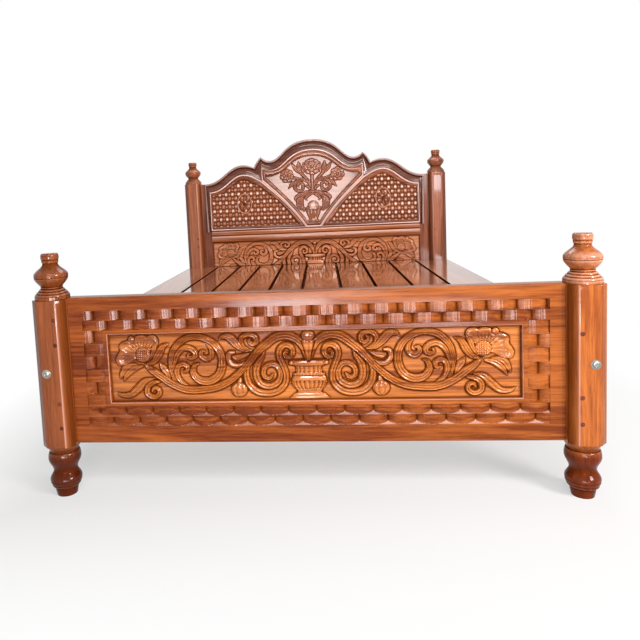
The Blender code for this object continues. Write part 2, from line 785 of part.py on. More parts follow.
def make_footboard():
    """Frame and panel of the footboard."""
    make_foot_stiles()
    make_foot_rails()
    make_framed_panel("foot_panel", PANEL_HALF, PANEL_BOTTOM, PANEL_TOP, PANEL_FRONT, TEAK_PANEL)


# Side rails, bolts, bearers and deck


def bearer_places():
    """Places of the cross bearers along the bed."""
    first = FOOT_INNER_Y + BEARER_END_MARGIN
    last = HEAD_INNER_Y - BEARER_END_MARGIN
    return [first + (last - first) * i / (BEARER_COUNT - 1) for i in range(BEARER_COUNT)]


def nut_line(side, y, slack):
    """Start, end and radius of a cross-dowel nut, or of its bore from the inner face of the rail."""
    start = side * (RAIL_X + NUT_LENGTH / 2 + slack)
    end = side * (RAIL_X - NUT_LENGTH / 2) if slack == 0 else side * (RAIL_INNER - NUT_LENGTH)
    return (start, y, BOLT_Z), (end, y, BOLT_Z), NUT_RADIUS + slack


def make_side_rails():
    """Side rails with stub tenons, bolt holes, nut bores and housings for the bearers."""
    for name, side in SIDES:
        low = (side * RAIL_INNER, FOOT_INNER_Y + CLEARANCE, RAIL_BOTTOM)
        high = (side * (RAIL_INNER + SIDE_RAIL_THICKNESS), HEAD_INNER_Y - CLEARANCE, RAIL_TOP)
        rail = new_object("side_rail_" + name, boxes((low, high)))
        fuse(rail, boxes(stub_box(side, FOOT_INNER_Y, -1, 0.0), stub_box(side, HEAD_INNER_Y, 1, 0.0)))
        housings = []
        housing_start = side * (RAIL_INNER - BEARER_HOUSING)
        housing_end = side * (RAIL_INNER + BEARER_HOUSING + CLEARANCE)
        for y in bearer_places():
            half = BEARER_WIDTH / 2 + CLEARANCE
            housings.append(((housing_start, y - half, RAIL_TOP - BEARER_HEIGHT - CLEARANCE),
                             (housing_end, y + half, RAIL_TOP + BEARER_HEIGHT)))
        depth = POST_SIZE + BOLT_REACH + BOLT_TIP + 2 * CLEARANCE
        bolts = [bolt_hole(side, -HALF_LENGTH, -1, depth), bolt_hole(side, HALF_LENGTH, 1, depth)]
        nut_places = (FOOT_INNER_Y + BOLT_REACH, HEAD_INNER_Y - BOLT_REACH)
        nuts = [nut_line(side, y, CLEARANCE) for y in nut_places]
        cut(rail, boxes(*housings), rods(*bolts), rods(*nuts))
        finish_piece(rail, TEAK)


def make_bolts():
    """Bed bolts with domed heads, and the cross-dowel nuts that they pass through."""
    for which, outer_y, outward in (("foot", -HALF_LENGTH, -1), ("head", HALF_LENGTH, 1)):
        for name, side in SIDES:
            make_bolt(which + "_bolt_" + name, side * RAIL_X, outer_y, outward)
            nut_y = outer_y - outward * (POST_SIZE + BOLT_REACH)
            nut = new_object(which + "_nut_" + name, rods(nut_line(side, nut_y, 0.0)))
            hole_start = (side * RAIL_X, nut_y - NUT_LENGTH, BOLT_Z)
            hole_end = (side * RAIL_X, nut_y + NUT_LENGTH, BOLT_Z)
            cut(nut, rods((hole_start, hole_end, BOLT_HOLE_RADIUS)))
            finish_piece(nut, STEEL, 40)


def make_bolt(name, x, outer_y, outward):
    """One bolt, turned round its own axis from the middle of its head to its tip."""
    reach = POST_SIZE + BOLT_REACH + BOLT_TIP
    profile = []
    for height, radius in quarter(BOLT_HEAD_HEIGHT, 0.0, 0.0, BOLT_HEAD_RADIUS, True, 4)[1:]:
        profile.append((height + CLEARANCE, radius))
    profile += [(CLEARANCE, BOLT_HEAD_RADIUS), (CLEARANCE, BOLT_RADIUS), (-reach, BOLT_RADIUS)]
    bm = bmesh.new()
    rings = []
    for height, radius in profile:
        ring = []
        for i in range(TURNING_SIDES):
            angle = 2 * math.pi * i / TURNING_SIDES
            ring.append(bm.verts.new((x + radius * math.cos(angle), outer_y + outward * height,
                                      BOLT_Z + radius * math.sin(angle))))
        rings.append(ring)
    for here, there in zip(rings, rings[1:]):
        for i in range(TURNING_SIDES):
            j = (i + 1) % TURNING_SIDES
            bm.faces.new((here[i], here[j], there[j], there[i]))
    bm.faces.new(rings[0])
    bm.faces.new(rings[-1])
    finish_piece(new_object(name, bm), CHROME, 40)


def make_bearers():
    """Cross bearers, housed in the side rails."""
    reach = RAIL_INNER + BEARER_HOUSING
    for number, y in enumerate(bearer_places(), 1):
        half = BEARER_WIDTH / 2
        bearer = new_object("cross_bearer_%d" % number, boxes(((-reach, y - half, RAIL_TOP - BEARER_HEIGHT),
                                                               (reach, y + half, RAIL_TOP))))
        finish_piece(bearer, TEAK)


def plank_outline(left, right):
    """Outline of a deck plank, notched round the posts where it reaches them."""
    foot, head = FOOTBOARD_BACK + PLANK_END_GAP, HEAD_FACE - PLANK_END_GAP
    foot_notch, head_notch = FOOT_INNER_Y + PLANK_END_GAP, HEAD_INNER_Y - PLANK_END_GAP
    edge = POST_INNER - PLANK_END_GAP
    if right > edge:
        return [(left, foot), (edge, foot), (edge, foot_notch), (right, foot_notch),
                (right, head_notch), (edge, head_notch), (edge, head), (left, head)]
    if left < -edge:
        return [(-x, y) for x, y in reversed(plank_outline(-right, -left))]
    return [(left, foot), (right, foot), (right, head), (left, head)]


def make_deck():
    """Deck planks, laid lengthways on the bearers with open gaps between them."""
    clear_width = BED_WIDTH - PLANK_GAP * (len(PLANK_SHARES) - 1)
    left = -HALF_WIDTH
    for number, share in enumerate(PLANK_SHARES, 1):
        right = left + clear_width * share / sum(PLANK_SHARES)
        bm = bmesh.new()
        outline = [(x, y, DECK_UNDERSIDE) for x, y in plank_outline(left, right)]
        add_extrusion(bm, outline, (0.0, 0.0, PLANK_THICKNESS))
        middle = DECK_UNDERSIDE + PLANK_THICKNESS / 2
        rim = [e for e in bm.edges if all(v.co.z > middle for v in e.verts)]
        bmesh.ops.bevel(bm, geom=rim, offset=PLANK_EASING, segments=1, affect="EDGES")
        finish_piece(new_object("deck_plank_%02d" % number, bm), TEAK)
        left = right + PLANK_GAP


# Headboard


def crest_points():
    """Turning points of the crest outline on the right half."""
    valley = (VALLEY_OUT, CREST_TOP - VALLEY_DROP)
    ear = (valley[0] + EAR_OUT, valley[1] + EAR_RISE)
    junction = (ear[0] + EAR_SIDE_OUT, ear[1] - EAR_SIDE_DROP)
    peak = (junction[0] + SIDE_PEAK_OUT, junction[1] + SIDE_PEAK_RISE)
    return valley, ear, junction, peak


def centre_crest():
    """Crest outline from the top centre to the junction with the side arch."""
    valley, ear, junction, _ = crest_points()
    points = swing((0.0, CREST_TOP), valley, 0.67, 0.31, ARCH_STEPS)
    points += cubic(valley, (valley[0] + 0.5 * EAR_OUT, valley[1]),
                    (ear[0] - 0.22 * EAR_OUT, ear[1] - 0.5 * EAR_RISE), ear, EAR_STEPS)
    points += cubic(ear, (ear[0] + 0.36 * EAR_SIDE_OUT, ear[1] - 0.16 * EAR_SIDE_DROP),
                    (ear[0] + 0.69 * EAR_SIDE_OUT, ear[1] - 0.59 * EAR_SIDE_DROP), junction, EAR_STEPS)
    return points + [junction]


def side_crest():
    """Crest outline from the junction over the side arch to the shoulder."""
    _, _, junction, peak = crest_points()
    points = cubic(junction, (junction[0] + 0.35 * SIDE_PEAK_OUT, junction[1] + 0.7 * SIDE_PEAK_RISE),
                   (peak[0] - 0.33 * SIDE_PEAK_OUT, peak[1]), peak, RISE_STEPS)
    points += swing(peak, (CREST_END, SHOULDER_LEVEL), 0.40, 0.46, SIDE_STEPS)
    return points + [(CREST_END, SHOULDER_LEVEL)]


def side_crest_to(edge):
    """Crest outline of the side arch, stopped at an upright edge."""
    path = side_crest()
    inside = [p for p in path if p[0] < edge]
    (x0, z0), (x1, z1) = inside[-1], path[len(inside)]
    return inside + [(edge, z0 + (z1 - z0) * (edge - x0) / (x1 - x0))]


def shield_points():
    """Top, tip and foot corner of the shield opening on the right half."""
    _, ear, _, _ = crest_points()
    top = (0.0, CREST_TOP - SHIELD_BAND)
    tip = (ear[0] - SHIELD_TIP_IN, ear[1] - SHIELD_TIP_DROP)
    heel = (SHIELD_FOOT_HALF, MID_RAIL_TOP + SHIELD_FOOT_RISE)
    return top, tip, heel


def shield_runs():
    """Right half of the shield opening: its arch and its curved flank."""
    top, tip, heel = shield_points()
    arch = swing(top, tip, 0.50, 0.50, ARCH_STEPS + EAR_STEPS)
    span_x, span_z = tip[0] - heel[0], tip[1] - heel[1]
    flank = cubic(tip, (tip[0] - 0.375 * span_x, tip[1] - 0.325 * span_z),
                  (heel[0] + 0.26 * span_x, heel[1] + 0.365 * span_z), heel, FLANK_STEPS)
    return arch, flank + [heel]


def lattice_outline():
    """Closed outline of the right lattice opening, from its heel over its peak."""
    _, _, _, crest_peak = crest_points()
    heel = (LATTICE_HEEL_OUT, MID_RAIL_TOP + LATTICE_FOOT_RISE)
    peak = (crest_peak[0], crest_peak[1] - LATTICE_BAND)
    shoulder = (HALF_BOARD - LATTICE_SIDE_MARGIN, SHOULDER_LEVEL - LATTICE_SHOULDER_DROP)
    corner = (shoulder[0], heel[1])
    rise, reach = peak[1] - heel[1], peak[0] - heel[0]
    points = cubic(heel, (heel[0] + 0.26 * reach, heel[1] + 0.46 * rise),
                   (peak[0] - 0.28 * reach, peak[1] - 0.06 * rise), peak, FLANK_STEPS + RISE_STEPS)
    points += swing(peak, shoulder, 0.25, 0.50, SIDE_STEPS)
    return points + [shoulder, corner]


def board_outline():
    """Closed outline of the crest board between the stiles."""
    edge = HALF_BOARD - CLEARANCE
    bottom = MID_RAIL_TOP + CLEARANCE
    half = centre_crest() + side_crest_to(edge)[1:] + [(edge, bottom), (0.0, bottom)]
    return mirrored(half)


def board_tongues(slack):
    """Corner pairs of the crest board's tongues into the stiles, or of their mortises."""
    low, high = MID_RAIL_TOP + RAIL_TENON_SHOULDER, SHOULDER_LEVEL - 2 * RAIL_TENON_SHOULDER
    return rail_tenons(HALF_BOARD, low, high, HEAD_MIDDLE, slack)


def make_crest_board():
    """Crest board with rebated openings for the shield and the lattice panels."""
    bm = bmesh.new()
    board = new_object("crest_board", add_prism(bm, board_outline(), HEAD_FACE, HEAD_BACK))
    fuse(board, boxes(*board_tongues(0.0)))
    arch, flank = shield_runs()
    shield = mirrored(arch + flank)
    openings = [shield, lattice_outline(), flip(lattice_outline(), -1)]
    through, rebates = bmesh.new(), bmesh.new()
    for outline in openings:
        add_prism(through, outline, HEAD_FACE - REBATE, HEAD_BACK + REBATE)
        add_prism(rebates, grown(outline, REBATE), HEAD_FACE + REBATE_LEVEL, HEAD_BACK + REBATE)
    cut(board, through, rebates)
    finish_piece(board, TEAK_DARK)
    make_inset("shield_panel", shield)
    for name, side in SIDES:
        make_inset("lattice_panel_" + name, flip(lattice_outline(), side))


def make_inset(name, outline):
    """A panel set into its opening from behind: a flange in the rebate and a raised field."""
    flange_front = HEAD_FACE + REBATE_LEVEL + CLEARANCE
    field_front = HEAD_FACE + FIELD_RECESS
    bm = bmesh.new()
    add_prism(bm, grown(outline, REBATE - CLEARANCE), flange_front, flange_front + INSET_THICKNESS)
    panel = new_object(name, bm)
    field = bmesh.new()
    add_prism(field, grown(outline, -CLEARANCE), field_front, flange_front + INSET_THICKNESS / 2)
    fuse(panel, field)
    finish_piece(panel, TEAK_PANEL)


def bead_section():
    """Section of the frame round an opening: a raised bead, then a band that slopes to the opening."""
    return [(0.0, 0.0, 0.0), (0.0, 0.0, BAND_RISE),
            (0.0, BEAD_WIDTH * 0.3, BEAD_RISE), (0.0, BEAD_WIDTH * 0.7, BEAD_RISE),
            (0.0, BEAD_WIDTH, BAND_RISE), (1.0, 0.0, BAND_EDGE_RISE), (1.0, 0.0, 0.0)]


def shield_flank_outer():
    """Outer path of the shield frame from its hip down to its foot, on the right half."""
    _, tip, heel = shield_points()
    _, ear, _, _ = crest_points()
    hip = (ear[0], tip[1] - SHIELD_HIP_DROP)
    foot = (heel[0] + SHIELD_FOOT_SPREAD, MID_RAIL_TOP + FRAME_FOOT_RISE)
    span_x, span_z = hip[0] - foot[0], hip[1] - foot[1]
    flank = cubic(hip, (hip[0] - 0.36 * span_x, hip[1] - 0.30 * span_z),
                  (foot[0] + 0.27 * span_x, foot[1] + 0.375 * span_z), foot, FLANK_STEPS)
    return flank + [foot]


def shield_arch_outer():
    """Outer path of the shield frame from the top centre to the corner under the ear."""
    top, tip, _ = shield_points()
    valley, ear, _, _ = crest_points()
    start = (0.0, top[1] + SHIELD_FRAME)
    dip = (valley[0], tip[1] + SHIELD_FRAME)
    corner = (ear[0], ear[1] - EAR_BAND)
    return swing(start, dip, 0.60, 0.36, ARCH_STEPS) + swing(dip, corner, 0.45, 0.20, EAR_STEPS) + [corner]


def shield_frame_paths():
    """Outer and inner path of the shield frame, closed and with as many points each."""
    arch, flank = shield_runs()
    outer = shield_arch_outer() + shield_flank_outer()
    inner = arch + [flank[0]] + flank
    left_outer = [(-x, z) for x, z in reversed(outer[1:])]
    left_inner = [(-x, z) for x, z in reversed(inner[1:])]
    return outer + left_outer, inner + left_inner


def moved(path, distance):
    """An open path moved sideways, to the right of its own direction."""
    result = []
    for i, (x, z) in enumerate(path):
        before, after = path[max(i - 1, 0)], path[min(i + 1, len(path) - 1)]
        along = unit(before, after)
        result.append((x + along[1] * distance, z - along[0] * distance))
    return result


def lattice_frame_outer():
    """Outer path of the lattice frame, one point for each point of the opening."""
    opening = lattice_outline()
    flank = moved(list(reversed(shield_flank_outer())), FRAME_GAP)
    hip = flank[-1]
    crown = opening[FLANK_STEPS + RISE_STEPS]
    peak = (crown[0], crown[1] + LATTICE_FRAME)
    shoulder = (opening[-2][0] + LATTICE_SIDE_FRAME, opening[-2][1] + LATTICE_SHOULDER_FRAME)
    reach, rise = peak[0] - hip[0], peak[1] - hip[1]
    points = flank[:-1]
    points += cubic(hip, (hip[0] + 0.30 * reach, hip[1] + 0.42 * rise),
                    (peak[0] - 0.40 * reach, peak[1]), peak, RISE_STEPS)
    points += swing(peak, shoulder, 0.36, 0.45, SIDE_STEPS)
    return points + [shoulder, (shoulder[0], points[0][1])]


def make_frames():
    """Beaded frames round the shield and the lattice openings."""
    base = HEAD_FACE - CLEARANCE
    outer, inner = shield_frame_paths()
    finish_piece(new_object("shield_frame", loft(outer, inner, bead_section(), base, True)), TEAK)
    for name, side in SIDES:
        around, opening = flip(lattice_frame_outer(), side), flip(lattice_outline(), side)
        frame = loft(around, opening, bead_section(), base, True)
        finish_piece(new_object("lattice_frame_" + name, frame), TEAK)


def crown_section():
    """Section of the crest moulding: a round outer bead, a cove and a raised inner edge."""
    width, top = CROWN_BEAD_WIDTH, CROWN_BEAD_RISE
    return [(0.0, 0.0, 0.0), (0.0, 0.0, 0.65 * top), (0.0, 0.3 * width, top), (0.0, 0.7 * width, top),
            (0.0, width, 0.6 * top), (0.12, width, CROWN_COVE_RISE), (0.70, 0.0, CROWN_COVE_RISE),
            (1.0, -FRAME_GAP, CROWN_INNER_RISE), (1.0, -FRAME_GAP, 0.0)]


def make_crest_mouldings():
    """Serpentine crest moulding: one length over the shield and one over each lattice."""
    base = HEAD_FACE - CLEARANCE
    hip = lattice_frame_outer()[FLANK_STEPS]
    corner = shield_arch_outer()[-1]
    beside = []
    for i in range(1, EAR_STEPS + 1):
        share = i / EAR_STEPS
        beside.append((corner[0] + (hip[0] - corner[0]) * share, corner[1] + (hip[1] - corner[1]) * share))
    outer = centre_crest()
    inner = shield_arch_outer() + beside
    outer = [(-x, z) for x, z in reversed(outer[1:])] + outer
    inner = [(-x, z) for x, z in reversed(inner[1:])] + inner
    moulding = loft(outer, inner, crown_section(), base, False)
    finish_piece(new_object("crest_moulding_centre", moulding), TEAK_DARK)
    foot = MID_RAIL_TOP + CLEARANCE
    outer = side_crest() + [(CREST_END, foot)]
    inner = lattice_frame_outer()[FLANK_STEPS:-1]
    inner.append((inner[-1][0], foot))
    outer[0] = forward(outer[0], outer[1], FRAME_GAP)
    inner[0] = forward(inner[0], inner[1], FRAME_GAP)
    for name, side in SIDES:
        moulding = loft(flip(outer, side), flip(inner, side), crown_section(), base, False)
        finish_piece(new_object("crest_moulding_" + name, moulding), TEAK_DARK)


def head_rail_spans():
    """Bottom and top of the tenons of the lower and the middle rail of the headboard."""
    bottom = SCROLL_PANEL_BOTTOM - HEAD_BOTTOM_RAIL_HEIGHT
    return (
        (bottom + RAIL_TENON_SHOULDER, SCROLL_PANEL_BOTTOM - RAIL_TENON_SHOULDER),
        (MID_RAIL_BOTTOM + RAIL_TENON_SHOULDER, MID_RAIL_TOP - RAIL_TENON_SHOULDER),
    )


def mid_rail_section():
    """Section of the middle rail: a flat band, a groove and a round nose below it."""
    nose_top = MID_RAIL_TOP - MID_RAIL_BAND - MID_RAIL_GROOVE
    band_front = HEAD_FACE - MID_RAIL_GROOVE
    points = [(HEAD_BACK, MID_RAIL_BOTTOM), (HEAD_BACK, MID_RAIL_TOP), (band_front, MID_RAIL_TOP),
              (band_front, nose_top + MID_RAIL_GROOVE), (HEAD_FACE, nose_top)]
    middle, half = (nose_top + MID_RAIL_BOTTOM) / 2, (nose_top - MID_RAIL_BOTTOM) / 2
    for i in range(1, NOSE_STEPS):
        angle = math.pi * i / NOSE_STEPS
        points.append((HEAD_FACE - MID_RAIL_NOSE * math.sin(angle), middle + half * math.cos(angle)))
    return points + [(HEAD_FACE, MID_RAIL_BOTTOM)]


def make_head_rails():
    """Middle and bottom rail of the headboard, tenoned into the stiles and grooved for the panel."""
    half = HALF_BOARD - CLEARANCE
    lower, middle = head_rail_spans()
    bottom = SCROLL_PANEL_BOTTOM - HEAD_BOTTOM_RAIL_HEIGHT
    bm = bmesh.new()
    add_extrusion(bm, [(-half, y, z) for y, z in mid_rail_section()], (2 * half, 0.0, 0.0))
    mid_rail = new_object("head_mid_rail", bm)
    low_rail = new_object("head_bottom_rail", boxes(((-half, HEAD_FACE, bottom),
                                                     (half, HEAD_BACK, SCROLL_PANEL_BOTTOM))))
    groove_y = TONGUE_THICKNESS / 2 + CLEARANCE
    panel_y = HEAD_FACE + FIELD_RECESS + PANEL_THICKNESS / 2
    rails = ((mid_rail, middle, MID_RAIL_BOTTOM, 1), (low_rail, lower, SCROLL_PANEL_BOTTOM, -1))
    for rail, tenon, edge, direction in rails:
        fuse(rail, boxes(*rail_tenons(HALF_BOARD, tenon[0], tenon[1], HEAD_MIDDLE, 0.0)))
        cut(rail, boxes(((-HALF_WIDTH, panel_y - groove_y, edge - direction * TONGUE_DEPTH),
                         (HALF_WIDTH, panel_y + groove_y, edge + direction * (TONGUE_DEPTH + CLEARANCE)))))
        finish_piece(rail, TEAK_DARK)
    make_framed_panel("head_scroll_panel", HALF_BOARD, SCROLL_PANEL_BOTTOM, MID_RAIL_BOTTOM,
                      HEAD_FACE + FIELD_RECESS, TEAK_DARK)


def make_head_stiles():
    """Stiles of the headboard, tenoned into the posts, with mortises for rails and crest board."""
    groove_y = TONGUE_THICKNESS / 2 + CLEARANCE
    panel_y = HEAD_FACE + FIELD_RECESS + PANEL_THICKNESS / 2
    for name, side in SIDES:
        low = (side * HALF_BOARD, HEAD_FACE, HEAD_STILE_FOOT)
        high = (side * (POST_INNER - CLEARANCE), HEAD_BACK, SHOULDER_LEVEL)
        stile = new_object("head_stile_" + name, boxes((low, high)))
        fuse(stile, boxes(*[tenon_box(side, HEAD_MIDDLE, level, 0.0) for level in HEAD_TENON_LEVELS]))
        mortises = [board_tongues(CLEARANCE)[side > 0]]
        for bottom, top in head_rail_spans():
            mortises.append(rail_tenons(HALF_BOARD, bottom, top, HEAD_MIDDLE, CLEARANCE)[side > 0])
        groove_start = side * (HALF_BOARD - TONGUE_DEPTH)
        groove_end = side * (HALF_BOARD + TONGUE_DEPTH + CLEARANCE)
        groove = ((groove_start, panel_y - groove_y, SCROLL_PANEL_BOTTOM - TONGUE_DEPTH),
                  (groove_end, panel_y + groove_y, MID_RAIL_BOTTOM + TONGUE_DEPTH))
        holes = [peg_line(side, HEAD_Y, z, CLEARANCE) for z in peg_levels("head", name)]
        cut(stile, boxes(*mortises), boxes(groove), rods(*holes))
        finish_piece(stile, TEAK_DARK)


def make_medallions():
    """Oval medallions on the lattice panels."""
    base = HEAD_FACE + FIELD_RECESS - CLEARANCE
    _, _, _, peak = crest_points()
    levels = [z for _, z in lattice_outline()]
    middle = (min(levels) + max(levels)) / 2 - MEDALLION_DROP
    for name, side in SIDES:
        bm = bmesh.new()
        rings = []
        profile = [(0.0, 1.0)] + quarter(MEDALLION_RISE / 2, 1.0, MEDALLION_RISE, 0.0, False, 4)
        for rise, share in profile:
            ring = []
            for i in range(MEDALLION_SIDES):
                angle = 2 * math.pi * i / MEDALLION_SIDES
                x = side * peak[0] + share * MEDALLION_HALF_WIDTH * math.cos(angle)
                z = middle + share * MEDALLION_HALF_HEIGHT * math.sin(angle)
                ring.append(bm.verts.new((x, base - rise, z)))
            rings.append(ring)
        for here, there in zip(rings, rings[1:]):
            for i in range(MEDALLION_SIDES):
                j = (i + 1) % MEDALLION_SIDES
                bm.faces.new((here[i], here[j], there[j], there[i]))
        bm.faces.new(rings[0])
        bm.faces.new(rings[-1])
        finish_piece(new_object("medallion_" + name, bm), TEAK_PANEL, 40)


def main():
    """Build the whole bed."""
    clear_scene()
    make_posts()
    make_footboard()
    make_side_rails()
    make_bolts()
    make_bearers()
    make_deck()
    make_head_stiles()
    make_head_rails()
    make_crest_board()
    make_frames()
    make_crest_mouldings()
    make_medallions()


main()
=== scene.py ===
"""Looks of the carved teak bed.

Carved panels, basket weave, lattice, turned posts and mouldings stand for the plain solids of the frame.
Metres, +Z up. The strokes of the carvings are in millimetres: from the middle of the panel, or on the
shield from its centre line and from the floor.
"""

import math

import bpy
import numpy as np
from mathutils import Matrix, Vector


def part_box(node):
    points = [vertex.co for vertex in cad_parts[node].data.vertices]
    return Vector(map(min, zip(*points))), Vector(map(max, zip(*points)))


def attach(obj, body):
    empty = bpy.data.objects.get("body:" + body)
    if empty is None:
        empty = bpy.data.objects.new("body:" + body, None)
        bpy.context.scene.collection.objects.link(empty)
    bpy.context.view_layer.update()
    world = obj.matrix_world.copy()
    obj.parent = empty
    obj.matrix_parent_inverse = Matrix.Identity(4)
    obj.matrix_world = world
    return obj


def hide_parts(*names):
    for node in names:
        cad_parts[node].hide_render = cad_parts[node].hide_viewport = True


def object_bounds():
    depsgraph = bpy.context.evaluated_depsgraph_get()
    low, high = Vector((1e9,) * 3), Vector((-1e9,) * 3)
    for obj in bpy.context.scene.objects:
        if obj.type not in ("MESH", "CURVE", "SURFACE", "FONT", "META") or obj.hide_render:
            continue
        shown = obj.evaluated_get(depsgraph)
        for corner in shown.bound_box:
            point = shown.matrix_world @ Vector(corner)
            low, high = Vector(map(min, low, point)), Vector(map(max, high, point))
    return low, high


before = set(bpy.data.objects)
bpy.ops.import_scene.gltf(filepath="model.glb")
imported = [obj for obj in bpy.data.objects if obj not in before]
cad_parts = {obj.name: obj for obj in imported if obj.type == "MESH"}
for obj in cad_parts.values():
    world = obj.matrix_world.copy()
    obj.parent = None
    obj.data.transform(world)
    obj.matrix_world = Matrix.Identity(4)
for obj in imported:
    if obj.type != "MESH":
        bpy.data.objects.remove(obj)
CAD_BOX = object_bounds()

SIDES = (("left", -1), ("right", 1))
MM = 0.001
SKIN_GAP = 0.0003
SMOOTH_ANGLE = 38
TURNED_ANGLE = 30
WEAVE_ANGLE = 32
WHITE = (1.0, 1.0, 1.0)

# Camera, fitted to the photograph; angles in degrees
CAMERA_PLACE = (0.0545, -2.6263, 0.8499)
CAMERA_YAW = 5.81
CAMERA_PITCH = 4.963
CAMERA_ROLL = -2.687
CAMERA_LENS = 33.035
CAMERA_SENSOR = 36.0
CAMERA_SHIFT = (0.0872, -0.1102)
CAMERA_REACH = 200.0

# Stage: the floor's white beside the bed and far from it, the world's light as given and as seen
FLOOR_HALF = 40.0
FLOOR_GREY = 0.66
FLOOR_WHITE = (0.55, 1.0)
FLOOR_FADE = 0.6
WORLD_LEVELS = (0.12, 1.0)

# Posts, as in the frame
POST_SIZE = 0.100
POST_CHAMFER = 0.022
POST_Y = 1.0
POST_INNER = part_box("foot_post_right")[0][0]
POST_EDGE_POWER = 70
BODY_EASING = 0.0015
BODY_EASED = 0.985
FOOT_TURNING = 0.156
# The feet are made darker. The finials are darker too; on the left foot post this is painted shade, the light
# falling from the right.
FOOT_DARKENING = 0.35
FINIAL_DARKENING = {"foot_post_left": 0.30, "foot_post_right": 0.0, "head_post_left": 0.35,
                "head_post_right": 0.35}
GROOVE_REACH = 0.0045
GROOVE_DEPTH = 0.0016
GROOVE_STEP = 0.0005
PEG_RADIUS = 0.0062
BOLT_HEAD = 0.006

# Footboard
FRONT_Y = -1.016
PANEL_FRONT_Y = -1.004
PANEL_HALF = 0.5795
PANEL_BOTTOM = 0.275
PANEL_TOP = 0.482
PANEL_GAP = 0.0002
PANEL_THICKNESS = 0.018
LIP_WIDTH = 0.0052
LIP_RISE = 0.0105
LIP_FOOT = 0.003
WEAVE_LIP = 0.010
WEAVE_STRAND = 0.029
WEAVE_DEPTH = 0.0095
WEAVE_SKIN = 0.0005
TOP_WEAVE = {"pitch": 0.0787, "start": -0.0265, "brick": 0.92, "round": 0.85, "power": 2.2, "facet": 2.6}
BOTTOM_WEAVE = {"pitch": 0.0791, "start": -0.022, "brick": 0.92, "round": 0.80, "power": 1.6, "facet": 0.82}
SIDE_WEAVE = {"pitch": 0.0787, "brick": 0.90, "round": 0.80, "power": 2.0, "facet": 1.8, "rows": 6}
WEAVE_COLUMNS = 800
# Painted highlight on the sloped cuts under the bottom weave's slots, weaker towards the left
FACET_HIGHLIGHT = -0.22
CHISEL_DEPTH = 0.00010
CHISEL_PITCH = 0.0083
EDGE_ROUND = 0.004
EDGE_SHARES = np.array([0.0, 0.06, 0.18, 0.4, 0.7, 1.0])

# Headboard
HEAD_FACE = 0.992
FIELD_Y = 1.000
FIELD_BACK_Y = 1.020
HALF_BOARD = 0.636
PEAK_X = 0.4225
CREST_FOOT = 0.6553
SCROLL_BOTTOM = 0.3693
SCROLL_TOP = 0.5888
DECK_LEVEL = 0.4365
# Painted shadow line on the head scroll board where the deck meets it
DECK_SHADOW = 0.9
DECK_SHADOW_REACH = 0.0035
RAIL_FACE = 0.988
RAIL_BAND = 0.6335
NOSE_LEVEL = 0.6085
NOSE_HALF = 0.0195
NOSE_RISE = 0.012
LATTICE_CELL = (0.01965, 0.0256)
LATTICE_START = (0.163, 0.704)
# Stain and painted shade on the lattice's ground between the studs
LATTICE_STAIN_AND_SHADE = 0.62
LATTICE_GRID = (210, 340)
STUD_RADII = (0.0122, 0.0066)
STUD_RISES = (0.0068, 0.0036)
STUD_TALLER = 1.15
# Painted highlights on the lattice's studs: stronger on the right panel and on odd rows, weak on the small
# studs
STUD_HIGHLIGHT = {"left": 0.15, "right": 0.50}
ODD_ROW_HIGHLIGHT = 1.0
SMALL_STUD_HIGHLIGHT = 0.25
MEDALLION_HALF = (0.051, 0.070)
MEDALLION_LEVEL = 0.822

# Painted shade (above 0) and painted highlights (below 0) across the beads of the mouldings, from their outer
# to their inner edge
BEAD_SHARES = (0.0, 0.15, 0.6, 0.85, 1.0)
CREST_BEAD_SHADING = (0.0, -0.5, -0.55, 0.0, 0.6)
FRAME_BEAD_SHADING = (-0.2, -0.95, -0.95, -0.3, 0.5)

# Carving, in millimetres
MOAT_WIDTH = 2.3
MOAT_DEPTH = 1.5
GROUND_LOW = -2.2
LEAST_HALF_WIDTH = 0.3
WALL_SHARE = 0.34
CROWN_POWER = 2.6
RIDGE_DEPTH = 0.48
DESIGN_HALF = PANEL_HALF / MM
DESIGN_HEIGHT = (PANEL_TOP - PANEL_BOTTOM) / MM
SHIELD_WIDTH = 285
SHIELD_LEVELS = (690, 1100)
SHIELD_GRID = (274, 191)
SHIELD_FACE_ROWS = 236
# Painted highlight on the dome of the shield's vase
DOME_HIGHLIGHT = -0.6

# Stain, painted shade and painted highlights of the carving, and the teak's specular level
HOLLOW_STAIN_AND_SHADE = (0.075, 0.016, 0.003)
SPECULAR = 0.17
# Painted shadow with some dirt along the panels' edges, reaching further at the top, under the rail's lip
EDGE_SHADOW_AND_DIRT = 0.8
EDGE_SHADOW_REACH = 0.003
CARVED_STAIN_AND_SHADE = 0.6
CARVED_ABOVE = 1.0
SUNK_FULLY = 2.6
# In each look, the stain value darkens hollows with stain and painted shade, the crest value paints
# highlights on crests, and tint above 0 paints shade on carved forms and highlights on the ground (below 0
# the other way round).
FOOT_SCROLL = {"cell": 0.0012, "reach": 0.006, "stain_and_shading": 1.6, "crest": 2.6, "tint": -0.06, "bud": True}
HEAD_SCROLL = {"cell": 0.0019, "reach": 0.010, "stain_and_shading": 1.7, "crest": 2.2, "tint": 0.25, "bud": False}


# Meshes and pieces


def make_mesh(name, points, faces, hollow, angle=SMOOTH_ANGLE):
    """A smooth-shaded mesh; hollow is above 0 where stain and painted shade darken hollows, and below 0 where
    highlights are painted on crests.
    """
    mesh = bpy.data.meshes.new(name)
    mesh.from_pydata(np.asarray(points, float).tolist(), [], [list(map(int, f)) for f in faces])
    mesh.update()
    mesh.shade_smooth()
    mesh.set_sharp_from_angle(angle=math.radians(angle))
    if hollow is not None:
        values = np.zeros(len(mesh.vertices), np.float32)
        values[:hollow.size] = hollow.ravel()
        mesh.attributes.new("hollow", "FLOAT", "POINT").data.foreach_set("value", values)
    return mesh


